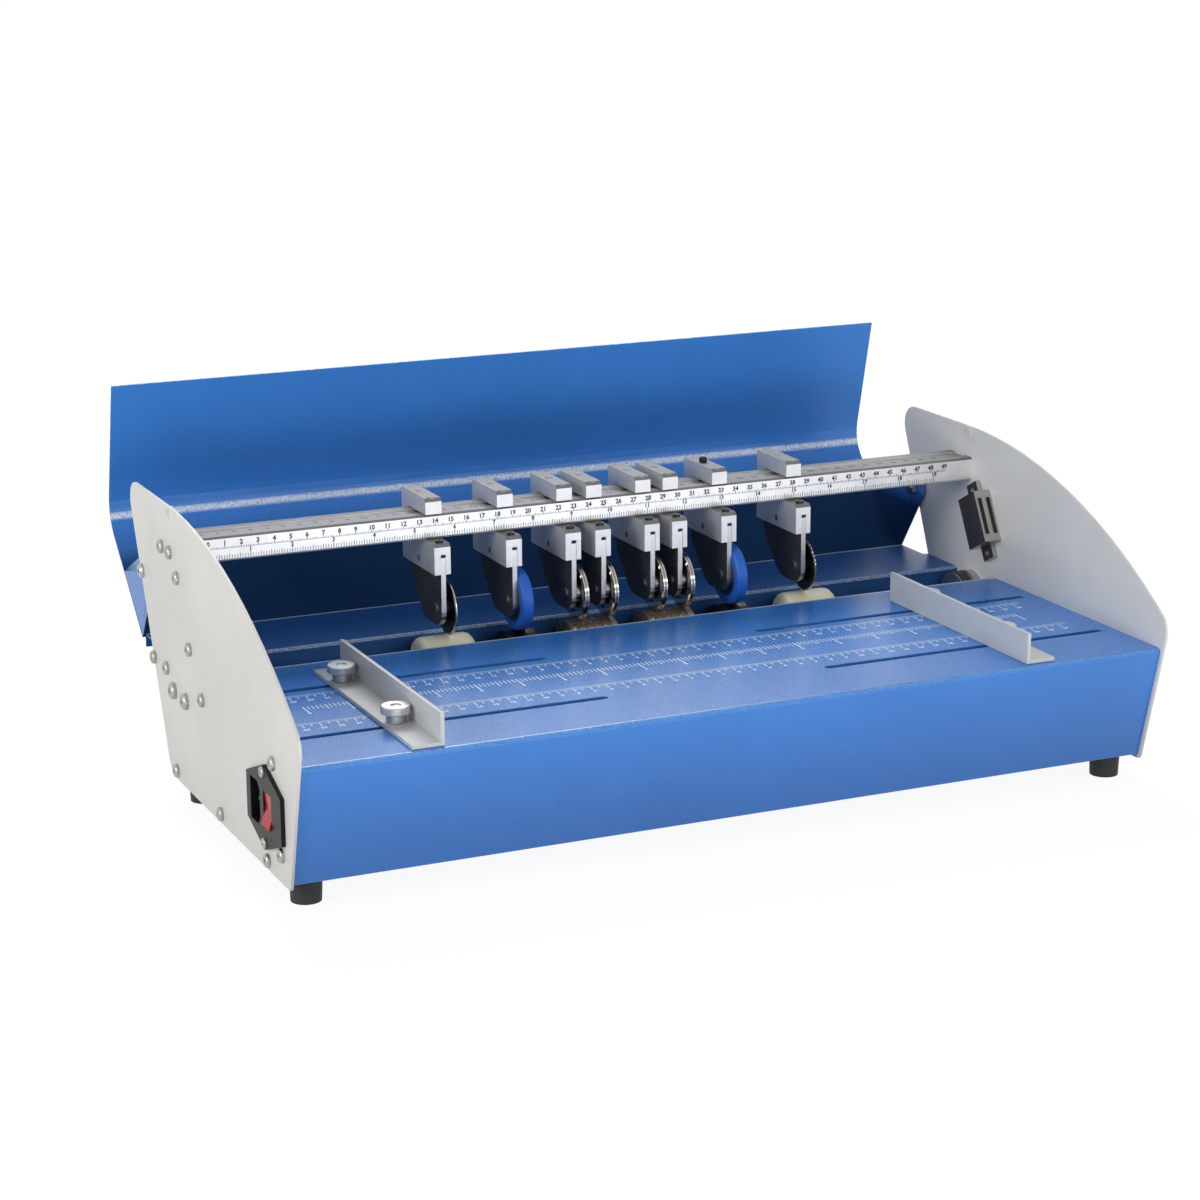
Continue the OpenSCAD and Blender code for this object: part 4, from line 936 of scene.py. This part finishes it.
class CREASER_OT_table_ruler(bpy.types.Operator):
    """Prints three rulers on the infeed table, their zero in its middle"""

    bl_idname = "creaser.table_ruler"
    bl_label = "Table ruler"

    def execute(self, context):
        set_to = sizes()
        z = TABLE_HIGH.z
        thin, thick, tall = set_to.tick * TABLE_LINE, set_to.ink, set_to.table_digit
        start = MID_X - HALF_CMS * CM
        marks = []
        for low, _ in TABLE_BANDS:
            foot = TABLE_LOW.y + low
            marks += rule("cm", (start, foot, z), FLAT, CM, 2 * HALF_CMS, TABLE_CM_ROWS, thin,
                          thick, hang=1)
            marks += numbers(from_middle(HALF_CMS), (start, foot + CM_DIGIT_Y, z), CM, FLAT,
                             tall, thick)
        start = MID_X - HALF_INCHES * INCH
        marks += rule("inch", (start, TABLE_LOW.y + INCH_TOP, z), FLAT, INCH, 2 * HALF_INCHES,
                      TABLE_INCH_ROWS, thin, thick, hang=1)
        marks += numbers(from_middle(HALF_INCHES), (start, TABLE_LOW.y + INCH_DIGIT_Y, z), INCH,
                         FLAT, tall, thick)
        scale = sealed(joined(marks, "table_scale"))
        finished(scale, "frame", ink("table ink", colours().table_print, 0.42))
        return {"FINISHED"}


class CREASER_OT_stage(bpy.types.Operator):
    """Sets the pale floor, the soft lights and the camera"""

    bl_idname = "creaser.stage"
    bl_label = "Floor, lights and camera"

    def execute(self, context):
        self.make_camera(context)
        self.make_floor()
        self.make_world(context)
        self.make_lights()
        return {"FINISHED"}

    def make_camera(self, context):
        turn, tip, roll = [math.radians(angle) for angle in CAMERA_ANGLES]
        level = math.cos(tip)
        look = Vector((math.sin(turn) * level, math.cos(turn) * level, -math.sin(tip)))
        side = Vector((math.cos(turn), -math.sin(turn), 0))
        top = side.cross(look)
        right = math.cos(roll) * side + math.sin(roll) * top
        up = -math.sin(roll) * side + math.cos(roll) * top
        lens = bpy.data.cameras.new("photo_view")
        lens.lens = CAMERA_LENS
        lens.sensor_width = CAMERA_SENSOR
        lens.clip_start = CAMERA_NEAREST
        camera = bpy.data.objects.new("photo_view", lens)
        context.collection.objects.link(camera)
        turned = Matrix((right, up, -look)).transposed().to_4x4()
        camera.matrix_world = Matrix.Translation(CAMERA_PLACE) @ turned
        context.scene.camera = camera

    def make_floor(self):
        floor = added(bpy.ops.mesh.primitive_plane_add, "floor", size=FLOOR_SIZE,
                      location=(0, 0, CAD_BOX[0][2]))
        settle(floor)
        f = Finish("white floor")
        tone = f.blend(f.noise(30.0, 2.0), (0.80, 0.80, 0.80, 1), (0.83, 0.83, 0.83, 1))
        matt = f.node("ShaderNodeBsdfDiffuse", None, {"Color": tone})
        lit = f.node("ShaderNodeEmission", None, {"Color": WHITE, "Strength": FLOOR_GLOW})
        x, y, _ = f.axes()
        glow = FLOOR_NEAR + x.reach(y).ramp(*FLOOR_FADE) * (1 - FLOOR_NEAR)
        floor.data.materials.append(f.done(f.mix(f.seen(), matt, f.mix(glow, matt, lit))))

    def make_world(self, context):
        world = bpy.data.worlds.new("soft_room")
        world.use_nodes = True
        room = Shading(world.node_tree, "ShaderNodeOutputWorld")
        dim = room.node("ShaderNodeBackground", None, {"Color": WHITE, "Strength": ROOM_LIGHT})
        bright = room.node("ShaderNodeBackground", None, {"Color": WHITE, "Strength": 1.0})
        room.done(room.mix(room.seen(), dim, bright))
        context.scene.world = world

    def make_lights(self):
        for name, place, target, span, power in LAMPS:
            lamp = bpy.data.lights.new(name, "AREA")
            lamp.shape = "RECTANGLE"
            lamp.size, lamp.size_y = span
            lamp.energy = power
            holder = bpy.data.objects.new(name, lamp)
            bpy.context.collection.objects.link(holder)
            holder.visible_camera = False
            aim = (Vector(target) - Vector(place)).to_track_quat("-Z", "Y")
            holder.matrix_world = Matrix.Translation(place) @ aim.to_matrix().to_4x4()


STEPS = (
    CREASER_OT_sheets, CREASER_OT_tools, CREASER_OT_drive, CREASER_OT_fittings,
    CREASER_OT_screws, CREASER_OT_beam_ruler, CREASER_OT_table_ruler, CREASER_OT_stage)


class CREASER_PT_panel(bpy.types.Panel):
    """Lists the machine's steps, colours and sizes"""

    bl_idname = "CREASER_PT_panel"
    bl_label = "Creasing machine"
    bl_space_type = "VIEW_3D"
    bl_region_type = "UI"
    bl_category = "Creaser"

    def draw(self, context):
        layout = self.layout
        for step in STEPS:
            layout.operator(step.bl_idname)
        for group in (context.scene.creaser_colours, context.scene.creaser_sizes):
            box = layout.box()
            for name in group.bl_rna.properties.keys():
                if name not in ("rna_type", "name"):
                    box.prop(group, name)


CLASSES = (CreaserColours, CreaserSizes, *STEPS, CREASER_PT_panel)


def register():
    for kind in CLASSES:
        bpy.utils.register_class(kind)
    bpy.types.Scene.creaser_colours = bpy.props.PointerProperty(type=CreaserColours)
    bpy.types.Scene.creaser_sizes = bpy.props.PointerProperty(type=CreaserSizes)


def unregister():
    del bpy.types.Scene.creaser_sizes
    del bpy.types.Scene.creaser_colours
    for kind in reversed(CLASSES):
        bpy.utils.unregister_class(kind)


def main():
    register()
    bpy.context.scene.view_settings.view_transform = "Standard"
    bpy.ops.creaser.sheets()
    bpy.ops.creaser.tools()
    bpy.ops.creaser.drive()
    bpy.ops.creaser.fittings()
    bpy.ops.creaser.screws()
    bpy.ops.creaser.beam_ruler()
    bpy.ops.creaser.table_ruler()
    bpy.ops.creaser.stage()


if __name__ == "__main__":
    main()
